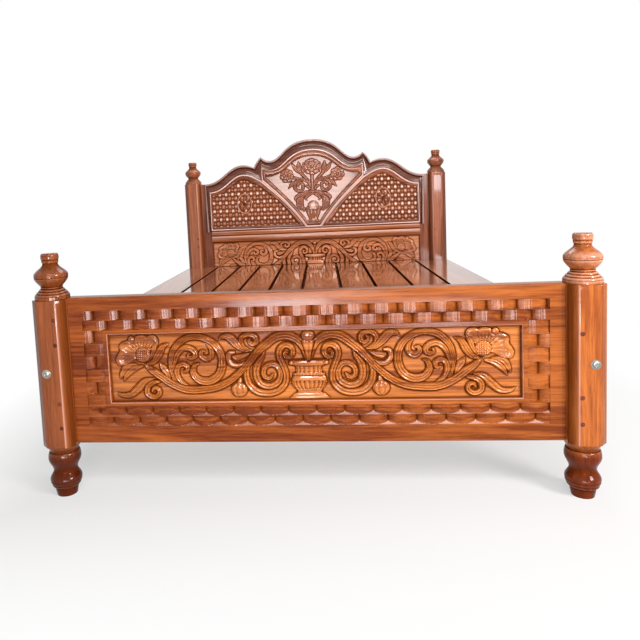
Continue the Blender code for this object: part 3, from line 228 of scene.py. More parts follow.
def add_piece(mesh, material, slot, *nodes):
    """Put a mesh into the scene as a piece of the bed that stands for CAD nodes."""
    item = bpy.data.objects.new(mesh.name, mesh)
    bpy.context.scene.collection.objects.link(item)
    mesh.materials.append(material)
    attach(item, "root")
    if nodes:
        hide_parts(*nodes)


def grid_faces(rows, cols, closed=False):
    """Quads of a grid of points; a closed grid joins its last column to its first."""
    index = np.arange(rows * cols).reshape(rows, cols)
    if closed:
        index = np.hstack([index, index[:, :1]])
    corners = [index[:-1, :-1], index[:-1, 1:], index[1:, 1:], index[1:, :-1]]
    return np.stack(corners, axis=-1).reshape(-1, 4)


def tube_faces(count, sides):
    """Faces of a row of rings, closed at both ends."""
    ends = [np.arange(sides)[::-1], np.arange(sides) + (count - 1) * sides]
    return list(grid_faces(count, sides, True)) + ends


def relief_board(name, x, y, z, back_y, hollow, angle=SMOOTH_ANGLE):
    """A board whose front is a grid of points, closed by straight edges and a flat back."""
    rows, cols = x.shape
    index = np.arange(rows * cols).reshape(rows, cols)
    rim = np.concatenate([index[0, :-1], index[:-1, -1], index[-1, :0:-1], index[:0:-1, 0]])
    front = np.stack([x, y, z], axis=-1).reshape(-1, 3)
    back = front[rim].copy()
    back[:, 1] = back_y
    behind = rows * cols + np.arange(len(rim))
    skirt = np.stack([rim, behind, np.roll(behind, -1), np.roll(rim, -1)], axis=-1)
    faces = list(grid_faces(rows, cols)) + list(skirt) + [behind[::-1]]
    return make_mesh(name, np.vstack([front, back]), faces, hollow, angle)


def lathe(name, rings, hollow=None):
    """A closed body of rings with as many points each."""
    rings = np.asarray(rings, float)
    count, sides, _ = rings.shape
    return make_mesh(name, rings.reshape(-1, 3), tube_faces(count, sides), hollow, TURNED_ANGLE)


def loft(name, outer, inner, section, base_y, closed):
    """A moulding between two paths; its section lists share of the width, added distance, rise, and stain
    with painted shade (below 0 a painted highlight).
    """
    outer, inner = np.asarray(outer, float), np.asarray(inner, float)
    width = np.linalg.norm(inner - outer, axis=1)[:, None]
    along = (inner - outer) / width
    stations = []
    for share, added, rise, _ in section:
        place = outer + along * (share * width + added)
        stations.append(np.column_stack([place[:, 0], np.full(len(place), base_y - rise), place[:, 1]]))
    points = np.stack(stations, axis=1)
    count, sides = points.shape[:2]
    if closed:
        faces = grid_faces(count + 1, sides, True) % (count * sides)
    else:
        faces = tube_faces(count, sides)
    turn = np.cross(np.append(outer[1] - outer[0], 0), np.append(along[0], 0))[2]
    if turn > 0:
        faces = [f[::-1] for f in faces]
    hollow = np.tile([station[3] for station in section], count)
    return make_mesh(name, points.reshape(-1, 3), faces, hollow)


def both_halves(right, sign=1):
    """A grid over both halves of a panel from its right half, which starts at the centre line."""
    return np.hstack([sign * right[:, :0:-1], right])


def field_grid(x, low, high, rows):
    """Grid of points between a lower and an upper edge."""
    share = np.linspace(0, 1, rows)[:, None]
    return np.broadcast_to(x, (rows, len(x))), low + share * (high - low)


def smoothed(line, cells):
    """Running mean of a line of values, over so many cells to either side."""
    width = 2 * cells + 1
    return np.convolve(np.pad(line, cells, "edge"), np.ones(width) / width, "valid")


def blurred(field, cells):
    """Mean of a grid over a square window."""
    for axis in (0, 1):
        field = np.apply_along_axis(smoothed, axis, field, cells)
    return field


def sampled(field, row, col):
    """Values of a grid at places between its points."""
    i, j = row.astype(int), col.astype(int)
    s, t = row - i, col - j
    return ((1 - s) * ((1 - t) * field[i, j] + t * field[i, j + 1])
            + s * ((1 - t) * field[i + 1, j] + t * field[i + 1, j + 1]))


# Paths


def smooth_path(points, per_span=14):
    """A smooth curve through points of any number of values each."""
    p = np.asarray(points, float)
    p = np.vstack([2 * p[0] - p[1], p, 2 * p[-1] - p[-2]])
    t = np.linspace(0, 1, per_span, endpoint=False)[:, None]
    spans = []
    for a, b, c, d in zip(p, p[1:], p[2:], p[3:]):
        spans.append(b + 0.5 * t * (c - a + t * (2 * a - 5 * b + 4 * c - d + t * (3 * (b - c) + d - a))))
    return np.vstack(spans + [p[-2:-1]])


def cubic(p0, p1, p2, p3, steps):
    """Points of a cubic curve, without its last point."""
    t = np.arange(steps)[:, None] / steps
    u = 1 - t
    p0, p1, p2, p3 = (np.asarray(p, float) for p in (p0, p1, p2, p3))
    return u ** 3 * p0 + 3 * u * u * t * p1 + 3 * u * t * t * p2 + t ** 3 * p3


def outline(start, *spans):
    """A path over curved spans: end, handles at start and end as shares of the span, and steps."""
    start = np.asarray(start, float)
    stretches = []
    for end, lead, trail, steps in spans:
        span = end - start
        stretches.append(cubic(start, start + span * lead, end - span * trail, end, steps))
        start = np.asarray(end, float)
    return np.vstack([*stretches, start])


def dropped(path, level):
    """A path that goes on straight down or up from its end to a level."""
    return np.vstack([path, (path[-1][0], level)])


def mirrored(path, side):
    """A path on the right or on the left side of the bed."""
    return np.asarray(path) * (side, 1)


def both_sides(right):
    """A path over both halves of the bed from its right half, which starts at the centre line."""
    return np.vstack([mirrored(right[1:], -1)[::-1], right])


# Relief carving


class Relief:
    """Heights of a carved ground on a grid, in millimetres, built up form by form."""

    def __init__(self, u, v):
        self.u, self.v = np.meshgrid(u, v)
        self.height = np.zeros_like(self.u)

    def window(self, path, reach):
        """Rows and columns of the grid that a form along a path can reach."""
        low, high = path.min(axis=0) - reach, path.max(axis=0) + reach
        cols = slice(*np.searchsorted(self.u[0], (low[0], high[0])))
        rows = slice(*np.searchsorted(self.v[:, 0], (low[1], high[1])))
        return rows, cols

    def place(self, inside, outside_by, value, window=(slice(None), slice(None))):
        """Put a form on the ground, and cut a small moat round it."""
        moat = MOAT_DEPTH * np.clip(1 - outside_by / MOAT_WIDTH, 0, 1)
        below = np.maximum(self.height[window] - moat, GROUND_LOW)
        self.height[window] = np.where(inside, value, below)

    def stroke(self, top, ridges, points):
        """A tapering band along a curve; points are (u, v, half width), ridges run along the band."""
        path = smooth_path(points)
        half = np.maximum(path[:, 2], LEAST_HALF_WIDTH)
        window = self.window(path[:, :2], half.max() + MOAT_WIDTH)
        u, v = self.u[window], self.v[window]
        nearest = np.full(u.shape, np.inf)
        which = np.zeros(u.shape, int)
        for i, (a, b, _) in enumerate(path):
            square = (u - a) ** 2 + (v - b) ** 2
            closer = square < nearest
            nearest[closer] = square[closer]
            which[closer] = i
        distance = np.sqrt(nearest)
        along = np.gradient(path[:, :2], axis=0)
        left = along[which, 0] * (v - path[which, 1]) - along[which, 1] * (u - path[which, 0])
        width = half[which]
        across = np.clip(distance / width, 0, 1) * np.where(left >= 0, 1, -1)
        crown = WALL_SHARE + (1 - WALL_SHARE) * np.sqrt(1 - np.abs(across) ** CROWN_POWER)
        if ridges > 1:
            crown *= 1 - RIDGE_DEPTH / 2 * (1 + np.cos(math.pi * ridges * (across + 1)))
        value = top * np.minimum(1, 0.35 + width / 9) * crown
        self.place(distance < width, distance - width, value, window)

    def turned(self, top, profile, flutes=()):
        """A turned form at the centre line: profile of (v, half width), flutes of (v0, v1, count, depth)."""
        levels, widths = np.asarray(sorted(profile), float).T
        width = np.interp(self.v, levels, widths, left=0.0, right=0.0)
        share = np.clip(self.u / np.maximum(width, 0.1), 0, 1)
        value = top * (0.3 + 0.7 * np.sqrt(1 - share ** 2)) * (0.5 + 0.5 * width / widths.max())
        for low, high, count, depth in flutes:
            band = np.clip(np.minimum(self.v - low, high - self.v) / 1.5, 0, 1)
            value = value - band * depth * (1 - np.abs(np.sin(count * np.arcsin(share))))
        outside = np.where(width > 0, self.u - width, MOAT_WIDTH)
        self.place((self.u < width) & (width > 0), np.maximum(outside, 0), value)

    def oval(self, top, centre, radii, hatch=0.0, flutes=0):
        """A low dome, cross-hatched or fluted."""
        a, b = (self.u - centre[0]) / radii[0], (self.v - centre[1]) / radii[1]
        share = np.sqrt(a * a + b * b)
        value = top * (0.35 + 0.65 * np.sqrt(np.clip(1 - share ** 2, 0, 1)))
        if hatch:
            lines = np.maximum(np.cos(2 * math.pi * self.u / hatch), np.cos(2 * math.pi * self.v / hatch))
            value = value - 2.0 * np.clip(lines, 0, 1) ** 2
        if flutes:
            spread = np.arcsin(np.clip(a / np.maximum(np.sqrt(np.clip(1 - b * b, 0.01, 1)), 0.1), -1, 1))
            value = value - 2.6 * (1 - np.abs(np.cos(flutes * spread)))
        self.place(share < 1, (share - 1) * min(radii), value)

    def fan(self, top, centre, rim, flutes):
        """A ruffled fan of petals with a rolled edge; rim lists (angle in degrees, radius)."""
        path = smooth_path(sorted(rim))
        a, b = self.u - centre[0], self.v - centre[1]
        angle = np.degrees(np.arctan2(b, a))
        reach = np.interp(angle, path[:, 0], path[:, 1], left=0.0, right=0.0)
        radius = np.hypot(a, b)
        share = radius / np.maximum(reach, 0.1)
        roll = np.exp(-((share - 0.88) / 0.085) ** 2)
        lines = np.sin(math.pi * np.clip((share - 0.35) / 0.45, 0, 1))
        folds = 0.5 + 0.5 * np.cos(np.radians(angle) * flutes)
        value = top * (0.36 + 0.20 * share + 0.44 * roll - 0.24 * lines * folds)
        outside = np.where(reach > 0, radius - reach, MOAT_WIDTH)
        self.place((share < 1) & (reach > 0), np.maximum(outside, 0), value)

    def rose(self, top, centre, radius, petals):
        """A flower: two rings of round petals and a domed middle."""
        for reach, size, lift, turn in ((0.62, 0.40, 0.75, 0.0), (0.36, 0.30, 0.9, 0.5)):
            for k in range(petals):
                angle = 2 * math.pi * (k + turn) / petals + math.pi / 2
                c, s = radius * math.cos(angle), radius * math.sin(angle)
                inner = (centre[0] + 0.2 * c, centre[1] + 0.2 * s, 0.16 * radius)
                outer = (centre[0] + reach * c, centre[1] + reach * s, size * radius)
                self.stroke(top * lift, 1, [inner, outer])
        self.oval(top, centre, (0.2 * radius, 0.2 * radius), hatch=0.12 * radius)

    def hollow(self, cells, stain_and_shading, crest, tint):
        """How far points lie below those around them, for stain and painted shade; crests are below 0, for
        painted highlights, and tint above 0 paints shade on carved forms and highlights on the ground.
        """
        sunk = (blurred(self.height, cells) - self.height) / SUNK_FULLY
        carved = self.height > CARVED_ABOVE
        stain_and_shading = np.where(carved, CARVED_STAIN_AND_SHADE * stain_and_shading, stain_and_shading)
        return np.clip(sunk * np.where(sunk > 0, stain_and_shading, crest) + tint * np.where(carved, 1, -1), -0.8, 1)


FLOWER_HEAD = (477, 37)
FLOWER_RIM = [(-28, 60), (-21, 78), (-7, 81), (8, 70), (14, 69), (25, 74), (42, 64), (54, 52), (63, 50),
              (70, 58), (80, 60), (92, 60), (101, 57), (106, 57), (116, 66), (128, 68), (140, 62), (152, 48)]


def flower_carving(relief):
    """Flower at the end of the stem: sepals, a ruffled fan of petals, stamens and a cross-hatched head."""
    relief.stroke(5.5, 2, [(500, 8, 5), (526, 2, 11), (540, -14, 9), (549, -34, 0.5)])
    relief.stroke(5.5, 2, [(482, 4, 4), (508, -4, 9), (528, -20, 8), (540, -41, 0.5)])
    relief.fan(6.5, FLOWER_HEAD, FLOWER_RIM, 26)
    relief.oval(6.0, (509, 84), (10, 9.5))
    relief.stroke(6.0, 2, [(430, 76, 1), (442, 60, 7), (448, 40, 7), (462, 20, 3)])
    for step in range(9):
        angle = math.radians(25 + 15 * step)
        c, s = math.cos(angle), math.sin(angle)
        relief.stroke(7.0, 1, [(FLOWER_HEAD[0] + r * c, FLOWER_HEAD[1] + r * s, 1.3) for r in (24, 37)])
    relief.oval(7.5, FLOWER_HEAD, (22, 21), hatch=6.2)
    relief.stroke(6.5, 3, [(398, 70, 0.5), (418, 60, 8), (431, 38, 11), (446, 18, 8), (468, 9, 2)])


def bud_carving(relief):
    """Fluted bud at the top of the middle."""
    relief.turned(6.5, [(10, 5), (38, 12), (58, 18), (70, 21)], [(8, 72, 3, 3.2)])
    relief.oval(8.5, (0, 84), (18, 16))


def vase_carving(relief):
    """Vase at the middle of the design."""
    relief.turned(6.5, [(-97, 57), (-93, 56), (-91, 50), (-84, 46), (-79, 33)])
    relief.turned(9.5, [(-80, 30), (-71, 36), (-61, 45), (-51, 49.5), (-43, 49)], [(-69, -44, 11, 3.6)])
    relief.turned(10.5, [(-44, 49), (-36, 47), (-31, 43)])
    relief.turned(10.0, [(-30, 44), (-27, 46), (-24, 44)], [(-31, -23, 14, 2.2)])
    relief.turned(8.5, [(-24, 37), (-15, 35), (-5, 36), (0, 41)], [(-22, -2, 8, 3.2)])
    relief.turned(11.0, [(-1, 42), (3, 50), (9, 51), (13, 47), (14, 40)])
    relief.oval(9.5, (49, 7), (7, 7))


def scroll_carving(relief, with_bud):
    """Right half of the vase-and-scroll design of the footboard and headboard panels."""
    flower_carving(relief)
    relief.stroke(6.0, 2, [(402, -42, 2), (407, -18, 9), (420, 0, 9), (428, 15, 0.5)])
    relief.stroke(6.5, 2, [(450, -33, 2), (476, -41, 9), (498, -62, 11), (520, -80, 9), (545, -81, 6),
                           (563, -72, 0.5)])
    relief.stroke(7.5, 2, [(432, -42, 3), (452, -45, 7), (469, -58, 8), (469, -79, 8), (450, -88, 7.5),
                           (435, -77, 7), (438, -63, 6), (450, -61, 5), (455, -70, 3)])
    relief.stroke(7.5, 3, [(386, -40, 6), (395, 0, 8), (391, 40, 8.5), (370, 70, 9), (340, 86, 9.5),
                           (305, 86, 9.5), (270, 68, 10), (250, 38, 10.5), (247, 5, 11), (258, -25, 11.5),
                           (285, -43, 12), (315, -39, 11), (332, -18, 9), (327, 3, 6), (313, 10, 2)])
    relief.stroke(7.0, 2, [(290, 68, 2), (277, 52, 6.5), (276, 33, 8), (291, 22, 8.5), (306, 31, 7.5),
                           (304, 44, 5.5), (294, 45, 2.5)])
    relief.stroke(7.0, 2, [(390, -15, 1), (384, 15, 5.5), (374, 40, 7.5), (354, 55, 8.5), (333, 51, 8.5),
                           (322, 37, 7.5), (331, 26, 6.5), (344, 29, 5), (343, 39, 2.5)])
    relief.stroke(7.0, 2, [(350, -54, 2), (370, -41, 6.5), (380, -18, 7.5), (375, 2, 7.5), (360, 8, 7.5),
                           (348, 0, 7), (351, -12, 5.5), (362, -13, 2.5)])
    relief.stroke(7.5, 2, [(123, 43, 0.5), (131, 25, 6), (146, 2, 9), (150, -25, 9.5), (140, -51, 9.5),
                           (114, -61, 9.5), (88, -48, 9), (80, -22, 8.5), (92, 0, 8), (113, 2, 7.5),
                           (128, -12, 7), (127, -31, 6.5), (112, -37, 5.5), (103, -26, 3)])
    relief.stroke(8.0, 2, [(58, 36, 1.5), (66, 37, 4), (66, 26, 5), (54, 22, 6), (44, 34, 7), (48, 52, 7.5),
                           (64, 58, 8), (79, 48, 8.5), (83, 28, 8.5), (75, 5, 8.5), (66, -22, 8.5),
                           (68, -50, 9), (88, -73, 9.5), (118, -81, 10), (150, -75, 10), (171, -54, 9.5),
                           (178, -25, 8.5), (172, 5, 6), (160, 28, 3)])
    relief.stroke(7.0, 2, [(168, 46, 3), (186, 58, 6), (189, 79, 7), (171, 91, 7.5), (150, 85, 7.5),
                           (146, 70, 7), (157, 62, 6), (167, 71, 5), (162, 80, 2.5)])
    relief.stroke(7.0, 3, [(163, 44, 3), (188, 50, 8), (207, 68, 12), (225, 85, 11), (243, 86, 6),
                           (254, 75, 0.5)])
    relief.stroke(5.5, 2, [(168, 36, 1), (186, 28, 7), (203, 24, 9), (212, 26, 5)])
    relief.stroke(6.5, 1, [(176, 12, 3), (196, 2, 6), (216, 4, 7), (228, 20, 7), (224, 37, 6.5),
                           (211, 40, 4)])
    relief.stroke(6.0, 1, [(196, -38, 4), (198, -48, 7)])
    relief.oval(8.5, (200, -69), (23, 21), flutes=4)
    relief.stroke(9.0, 3, [(6, 20, 5), (12, 45, 8), (27, 70, 11), (55, 85, 12.5), (88, 82, 12.5),
                           (118, 62, 12), (145, 38, 11), (168, 12, 10), (193, -15, 9.5), (225, -42, 10),
                           (262, -60, 10.5), (305, -67, 11), (350, -67, 11), (390, -52, 11), (425, -28, 11),
                           (455, -6, 8), (476, 14, 0.5)])
    vase_carving(relief)
    if with_bud:
        bud_carving(relief)
    else:
        relief.oval(7.0, (0, 80), (9, 9))


def scroll_board(node, title, half, bottom, top, front_y, look, material, slot):
    """A panel with the vase-and-scroll carving, the same on both sides of its middle."""
    u = np.linspace(0, DESIGN_HALF, int(half / look["cell"]) + 1)
    v = np.linspace(-DESIGN_HEIGHT / 2, DESIGN_HEIGHT / 2, int((top - bottom) / look["cell"]) + 1)
    relief = Relief(u, v)
    scroll_carving(relief, look["bud"])
    x = both_halves(relief.u, -1) * half / DESIGN_HALF
    z = (bottom + top) / 2 + both_halves(relief.v) * (top - bottom) / DESIGN_HEIGHT
    hollow = relief.hollow(round(look["reach"] / look["cell"]), look["stain_and_shading"], look["crest"], look["tint"])
    # Painted shadow with some dirt along the edges, reaching further at the top under the rail's lip
    edge = np.minimum(np.minimum(half - np.abs(x), (top - z + LIP_WIDTH) / 2), z - bottom) - LIP_WIDTH
    hollow = np.maximum(both_halves(hollow), EDGE_SHADOW_AND_DIRT * np.exp(-np.maximum(edge, 0) / EDGE_SHADOW_REACH))
    # Painted shadow line where the deck meets the head scroll board
    if not look["bud"]:
        at_deck = np.exp(-((z - DECK_LEVEL) / DECK_SHADOW_REACH) ** 2)
        hollow = np.maximum(hollow, DECK_SHADOW * at_deck)
    y = front_y - both_halves(relief.height) * MM
    add_piece(relief_board(title, x, y, z, front_y + PANEL_THICKNESS, hollow), material, slot, node)


# Materials


def feed(tree, socket, value):
    """Give a socket a value, or link it to another node's output."""
    if isinstance(value, bpy.types.NodeSocket):
        tree.links.new(value, socket)
    else:
        socket.default_value = value


def add_node(tree, kind, settings=None, **inputs):
    """A shader node; an input is a value or another node's output."""
    made = tree.nodes.new("ShaderNode" + kind)
    for key, value in (settings or {}).items():
        setattr(made, key, value)
    for key, value in inputs.items():
        feed(tree, made.inputs[key.replace("_", " ")], value)
    return made


def math_node(tree, operation, *values):
    """Output of a Math node."""
    made = add_node(tree, "Math", {"operation": operation})
    for socket, value in zip(made.inputs, values):
        feed(tree, socket, value)
    return made.outputs[0]


def mixed(tree, factor, first, second, blend="MIX"):
    """Output of a colour mix."""
    made = add_node(tree, "MixRGB", {"blend_type": blend}, Fac=factor, Color1=first, Color2=second)
    return made.outputs["Color"]


def ramp(tree, factor, *stops):
    """Colour ramp with stops of place and colour."""
    made = add_node(tree, "ValToRGB", Fac=factor)
    elements = made.color_ramp.elements
    while len(elements) < len(stops):
        elements.new(0.5)
    for element, (place, colour) in zip(elements, stops):
        element.position = place
        element.color = (*colour, 1.0)
    return made.outputs["Color"]


def grey_ramp(tree, factor, *stops):
    """Ramp with stops of place and level."""
    return ramp(tree, factor, *((place, [level] * 3) for place, level in stops))


def object_place(tree):
    """Coordinates on the bed."""
    return add_node(tree, "TexCoord").outputs["Object"]


def object_axis(tree, axis):
    """One coordinate on the bed."""
    return add_node(tree, "SeparateXYZ", Vector=object_place(tree)).outputs[axis]


def noise(tree, place, **inputs):
    """Value of a noise texture."""
    return add_node(tree, "TexNoise", Vector=place, **inputs).outputs["Fac"]


def new_material(name):
    """An empty node material, its tree and its Principled shader."""
    material = bpy.data.materials.new(name)
    material.use_nodes = True
    tree = material.node_tree
    return material, tree, tree.nodes["Principled BSDF"]


def along_grain(tree, axis, shift):
    """Coordinates on the bed, drawn out along the grain."""
    scale = [1.0, 1.0, 1.0]
    scale["xyz".index(axis)] = 0.045
    mapping = add_node(tree, "Mapping", Vector=object_place(tree), Location=(shift, 0.37 * shift, -shift),
                       Scale=scale)
    return mapping.outputs["Vector"]


def darkened(tree, colour, top, share):
    """A colour that darkens below a level."""
    level = math_node(tree, "DIVIDE", object_axis(tree, "Z"), top)
    tint = ramp(tree, level, (0.75, (share, 0.5 * share, 0.25 * share)), (1.0, WHITE))
    return mixed(tree, 1.0, colour, tint, "MULTIPLY")


def shaded_towards_left(tree, colour, tint):
    """A colour darkened at the left end of the bed and plain at the right end, as painted shade with the
    light falling from the right.
    """
    across = math_node(tree, "MULTIPLY_ADD", object_axis(tree, "X"), 0.75, 0.5)
    return mixed(tree, 1.0, colour, ramp(tree, across, (0.0, tint), (1.0, WHITE)), "MULTIPLY")


def gap_shade(tree, middle, half):
    """One along both long edges of a plank, where the gaps' shade is painted, else nought."""
    aside = math_node(tree, "ABSOLUTE", math_node(tree, "SUBTRACT", object_axis(tree, "X"), middle))
    near = add_node(tree, "MapRange", Value=aside, From_Min=half - PLANK_EDGE - MM,
                    From_Max=half - PLANK_EDGE)
    return near.outputs["Result"]


def stain_shade_and_highlight(tree, colour, hollow, polished):
    """A colour darkened in the hollows by stain and painted shade, and lightened on the crests by painted
    highlights.
    """
    crest = math_node(tree, "MULTIPLY", hollow, -1.0)
    for factor, target in ((hollow, HOLLOW_STAIN_AND_SHADE), (crest, polished)):
        colour = mixed(tree, math_node(tree, "MAXIMUM", factor, 0.0), colour, (*target, 1.0))
    return colour


def teak(name, axis, tone, shift=0.0, coat=0.2, spread=1.0, painted_gleam=0.08, foot=None, left=None, rough=0.10,
         gloss=0.09, edges=None, carved=True):
    """Polished teak: figure, growth lines and pores; hollows of carved pieces get stain with painted shade
    and are matt, and their crests get painted highlights.
    """
    material, tree, shader = new_material(name)
    place = along_grain(tree, axis, shift)
    figure = noise(tree, place, Scale=12.0, Detail=2.0, Roughness=0.5, Distortion=0.8)
    rings = math_node(tree, "PINGPONG", math_node(tree, "MULTIPLY", figure, 14.0), 1.0)
    streaks = noise(tree, place, Scale=130.0, Detail=4.0, Roughness=0.65)
    pores = noise(tree, place, Scale=520.0, Detail=1.5, Roughness=0.5)
    blend = math_node(tree, "MULTIPLY", figure, 0.48)
    for part, weight in ((rings, 0.12), (streaks, 0.40)):
        blend = math_node(tree, "ADD", blend, math_node(tree, "MULTIPLY", part, weight))
    dark = [c * (1 - k * spread) for c, k in zip(tone, (0.40, 0.52, 0.60))]
    light = [c * (1 + k * spread) for c, k in zip(tone, (0.30, 0.40, 0.55))]
    colour = ramp(tree, blend, (0.40, dark), (0.51, tone), (0.62, light))
    flecks = ramp(tree, pores, (0.34, (0.55, 0.44, 0.36)), (0.44, WHITE))
    colour = mixed(tree, 0.35, colour, flecks, "MULTIPLY")
    if foot:
        colour = darkened(tree, colour, *foot)
    # Painted shade towards the left end, as the light falls from the right
    if left:
        colour = shaded_towards_left(tree, colour, left)
    sheen = {"Coat Weight": coat, "Specular IOR Level": SPECULAR}
    if carved:
        hollow = add_node(tree, "Attribute", {"attribute_name": "hollow"}).outputs["Fac"]
        if edges:
            hollow = math_node(tree, "MAXIMUM", hollow, gap_shade(tree, *edges))
        colour = stain_shade_and_highlight(tree, colour, hollow, [min(1.0, 1.3 * c + painted_gleam) for c in tone])
        sheen = {key: grey_ramp(tree, hollow, (0.0, level), (0.6, 0.0)) for key, level in sheen.items()}
    bump = add_node(tree, "Bump", Strength=0.10, Distance=0.0008, Height=streaks)
    roughness = grey_ramp(tree, streaks, (0.3, rough), (0.7, rough + 0.08))
    sockets = {"Base Color": colour, "Roughness": roughness, "Normal": bump.outputs["Normal"],
               "Coat Roughness": gloss, **sheen}
    for key, value in sockets.items():
        feed(tree, shader.inputs[key], value)
    return material


def metal(name, colour, roughness):
    """Plated steel with fine turning marks and a little dirt."""
    material, tree, shader = new_material(name)
    marks = noise(tree, object_place(tree), Scale=900.0, Detail=3.0)
    tint = ramp(tree, marks, (0.3, [0.8 * c for c in colour]), (0.7, colour))
    feed(tree, shader.inputs["Base Color"], tint)
    feed(tree, shader.inputs["Roughness"], grey_ramp(tree, marks, (0.3, roughness), (0.8, roughness * 1.8)))
    feed(tree, shader.inputs["Metallic"], 1.0)
    return material


HEAD_TONE = (0.30, 0.090, 0.036)
DECK_TONE = (0.43, 0.168, 0.082)
EDGE_PLANK_COATS = {1: 0.35, 10: 0.5}
# Width of the painted shade along each plank's long edges, beside the gaps
PLANK_EDGE = 0.0035
# Tones of the posts; the left foot post's much darker tone is painted shade, with the light falling from the
# right
POST_TONES = {"foot_post_left": (0.195, 0.050, 0.011), "foot_post_right": (0.38, 0.106, 0.018),
              "head_post_left": (0.36, 0.108, 0.040), "head_post_right": (0.31, 0.096, 0.042)}
POST_COATS = (0.30, 0.6)
# left= paints shade towards the left end of the footboard's frame and panel, as the light falls from the
# right
TEAK_FRAME = teak("teak_footboard", "x", (0.262, 0.067, 0.010), shift=1.9, coat=0.1, spread=1.2, painted_gleam=0.3,
                  rough=0.17, left=(0.74, 0.66, 0.62))
TEAK_PANEL = teak("teak_panel", "x", (0.40, 0.122, 0.020), shift=3.1, coat=0.7, spread=1.35, painted_gleam=0.7,
                  left=(0.68, 0.64, 0.55), gloss=0.05)
TEAK_HEAD = teak("teak_headboard", "x", HEAD_TONE, shift=5.3, coat=0.5, painted_gleam=0.55)
TEAK_BOARD = teak("teak_head_board", "x", HEAD_TONE, shift=5.3, coat=0.5, carved=False)
TEAK_STILE = teak("teak_head_stile", "z", (0.24, 0.070, 0.030), shift=8.3, coat=0.25, carved=False)
TEAK_RAIL = teak("teak_head_rail", "x", (0.40, 0.130, 0.046), shift=3.7, coat=1.0, painted_gleam=0.3)
TEAK_LATTICE = teak("teak_lattice", "x", (0.42, 0.138, 0.060), shift=2.7, coat=0.9, spread=0.7, painted_gleam=0.6)
TEAK_SHIELD = teak("teak_shield", "x", (0.33, 0.104, 0.045), shift=7.9, coat=1.0, spread=0.7, painted_gleam=0.2)
TEAK_SCROLL = teak("teak_scroll", "x", (0.60, 0.215, 0.085), shift=9.4, coat=1.0, painted_gleam=0.5)
TEAK_HIDDEN = teak("teak_rails", "y", (0.28, 0.075, 0.020), shift=2.2, coat=0.0, carved=False)
TEAK_BEARER = teak("teak_bearers", "x", (0.28, 0.075, 0.020), shift=4.6, carved=False)
TEAK_MOULDING = teak("teak_moulding", "x", (0.150, 0.046, 0.024), shift=6.1, coat=0.4, painted_gleam=0.38)
PEG_PALE = teak("peg_pale", "y", (0.28, 0.080, 0.028), shift=1.9, coat=0.0, carved=False)
PEG_WOOD = teak("peg_wood", "y", (0.11, 0.026, 0.008), shift=1.4, coat=0.0, carved=False)
CHROME = metal("bolt_chrome", (0.38, 0.37, 0.33), 0.22)
STEEL = metal("nut_steel", (0.52, 0.52, 0.52), 0.30)
# By the start of a node's name; the first that fits is taken
NODE_MATERIALS = {"side_rail": TEAK_HIDDEN, "cross_bearer": TEAK_BEARER, "foot_nut": STEEL, "head_nut": STEEL,
                  "head_stile": TEAK_STILE, "head_": TEAK_BOARD, "crest_board": TEAK_BOARD}


# Posts


def quarter(z0, r0, z1, r1, level_first, steps=10):
    """Quarter of an ellipse between two heights of a turning, without its last point."""
    angle = math.pi / 2 * np.arange(steps) / steps
    if level_first:
        z, r = 1 - np.cos(angle), np.sin(angle)
    else:
        z, r = np.sin(angle), 1 - np.cos(angle)
    return list(zip(z0 + (z1 - z0) * z, r0 + (r1 - r0) * r))


def ogee(z0, r0, z1, r1, steps=14):
    """S-shaped stretch of a turning, without its last point."""
    t = np.arange(steps) / steps
    return list(zip(z0 + (z1 - z0) * t, r0 + (r1 - r0) * (1 - np.cos(math.pi * t)) / 2))


def foot_profile():
    """Turned foot: tapered toe, stepped ring, waist, bulb and neck."""
    points = [(0.0, 0.0295), (0.002, 0.0300), (0.0205, 0.0335), (0.0265, 0.0355), (0.0275, 0.0353)]
    points += quarter(0.028, 0.0385, 0.0365, 0.0422, True, 6) + [(0.037, 0.0412)]
    points += quarter(0.0375, 0.0432, 0.046, 0.0452, True, 6) + [(0.047, 0.0444), (0.0475, 0.0458)]
    points += ogee(0.050, 0.0458, 0.077, 0.0345) + ogee(0.077, 0.0345, 0.113, 0.047)
    points += quarter(0.113, 0.047, 0.133, 0.0420, False) + [(0.134, 0.0408), (0.1355, 0.0408)]
    return points + ogee(0.136, 0.0415, FOOT_TURNING, POST_SIZE / 2 - 0.0005)


def finial_profile(bottom):
    """Turned finial: flared base of three tiers, bead, grooved bowl, neck and cap."""
    rise = [(0.0, 0.0485), (0.001, 0.0495), (0.0085, 0.0497), (0.0092, 0.0480)]
    rise += quarter(0.0095, 0.0490, 0.0160, 0.0450, False, 5) + [(0.0163, 0.0428)]
    rise += quarter(0.0166, 0.0438, 0.0230, 0.0385, False, 5) + [(0.0233, 0.0363)]
    rise += quarter(0.0236, 0.0373, 0.0300, 0.0315, False, 5) + [(0.0312, 0.0288)]
    rise += quarter(0.0318, 0.0292, 0.0338, 0.0315, True, 4)
    rise += quarter(0.0338, 0.0315, 0.0358, 0.0292, False, 4) + [(0.0362, 0.0290)]
    rise += list(cubic((0.0365, 0.0300), (0.044, 0.0365), (0.055, 0.0478), (0.0625, 0.0478), 10))
    rise += [(0.0627, 0.0478), (0.0632, 0.0462), (0.0640, 0.0462), (0.0645, 0.0480)]
    rise += [(0.0690, 0.0481)] + ogee(0.0705, 0.0480, 0.1030, 0.0213)
    rise += [(0.1045, 0.0215), (0.1065, 0.0236), (0.1130, 0.0238), (0.1136, 0.0226)]
    rise += quarter(0.1142, 0.0232, 0.1200, 0.0254, True, 6) + [(0.1248, 0.0254), (0.1254, 0.0246)]
    rise += quarter(0.1260, 0.0252, 0.1328, 0.0200, False, 7) + [(0.133, 0.012)]
    return [(bottom + z, r) for z, r in rise]


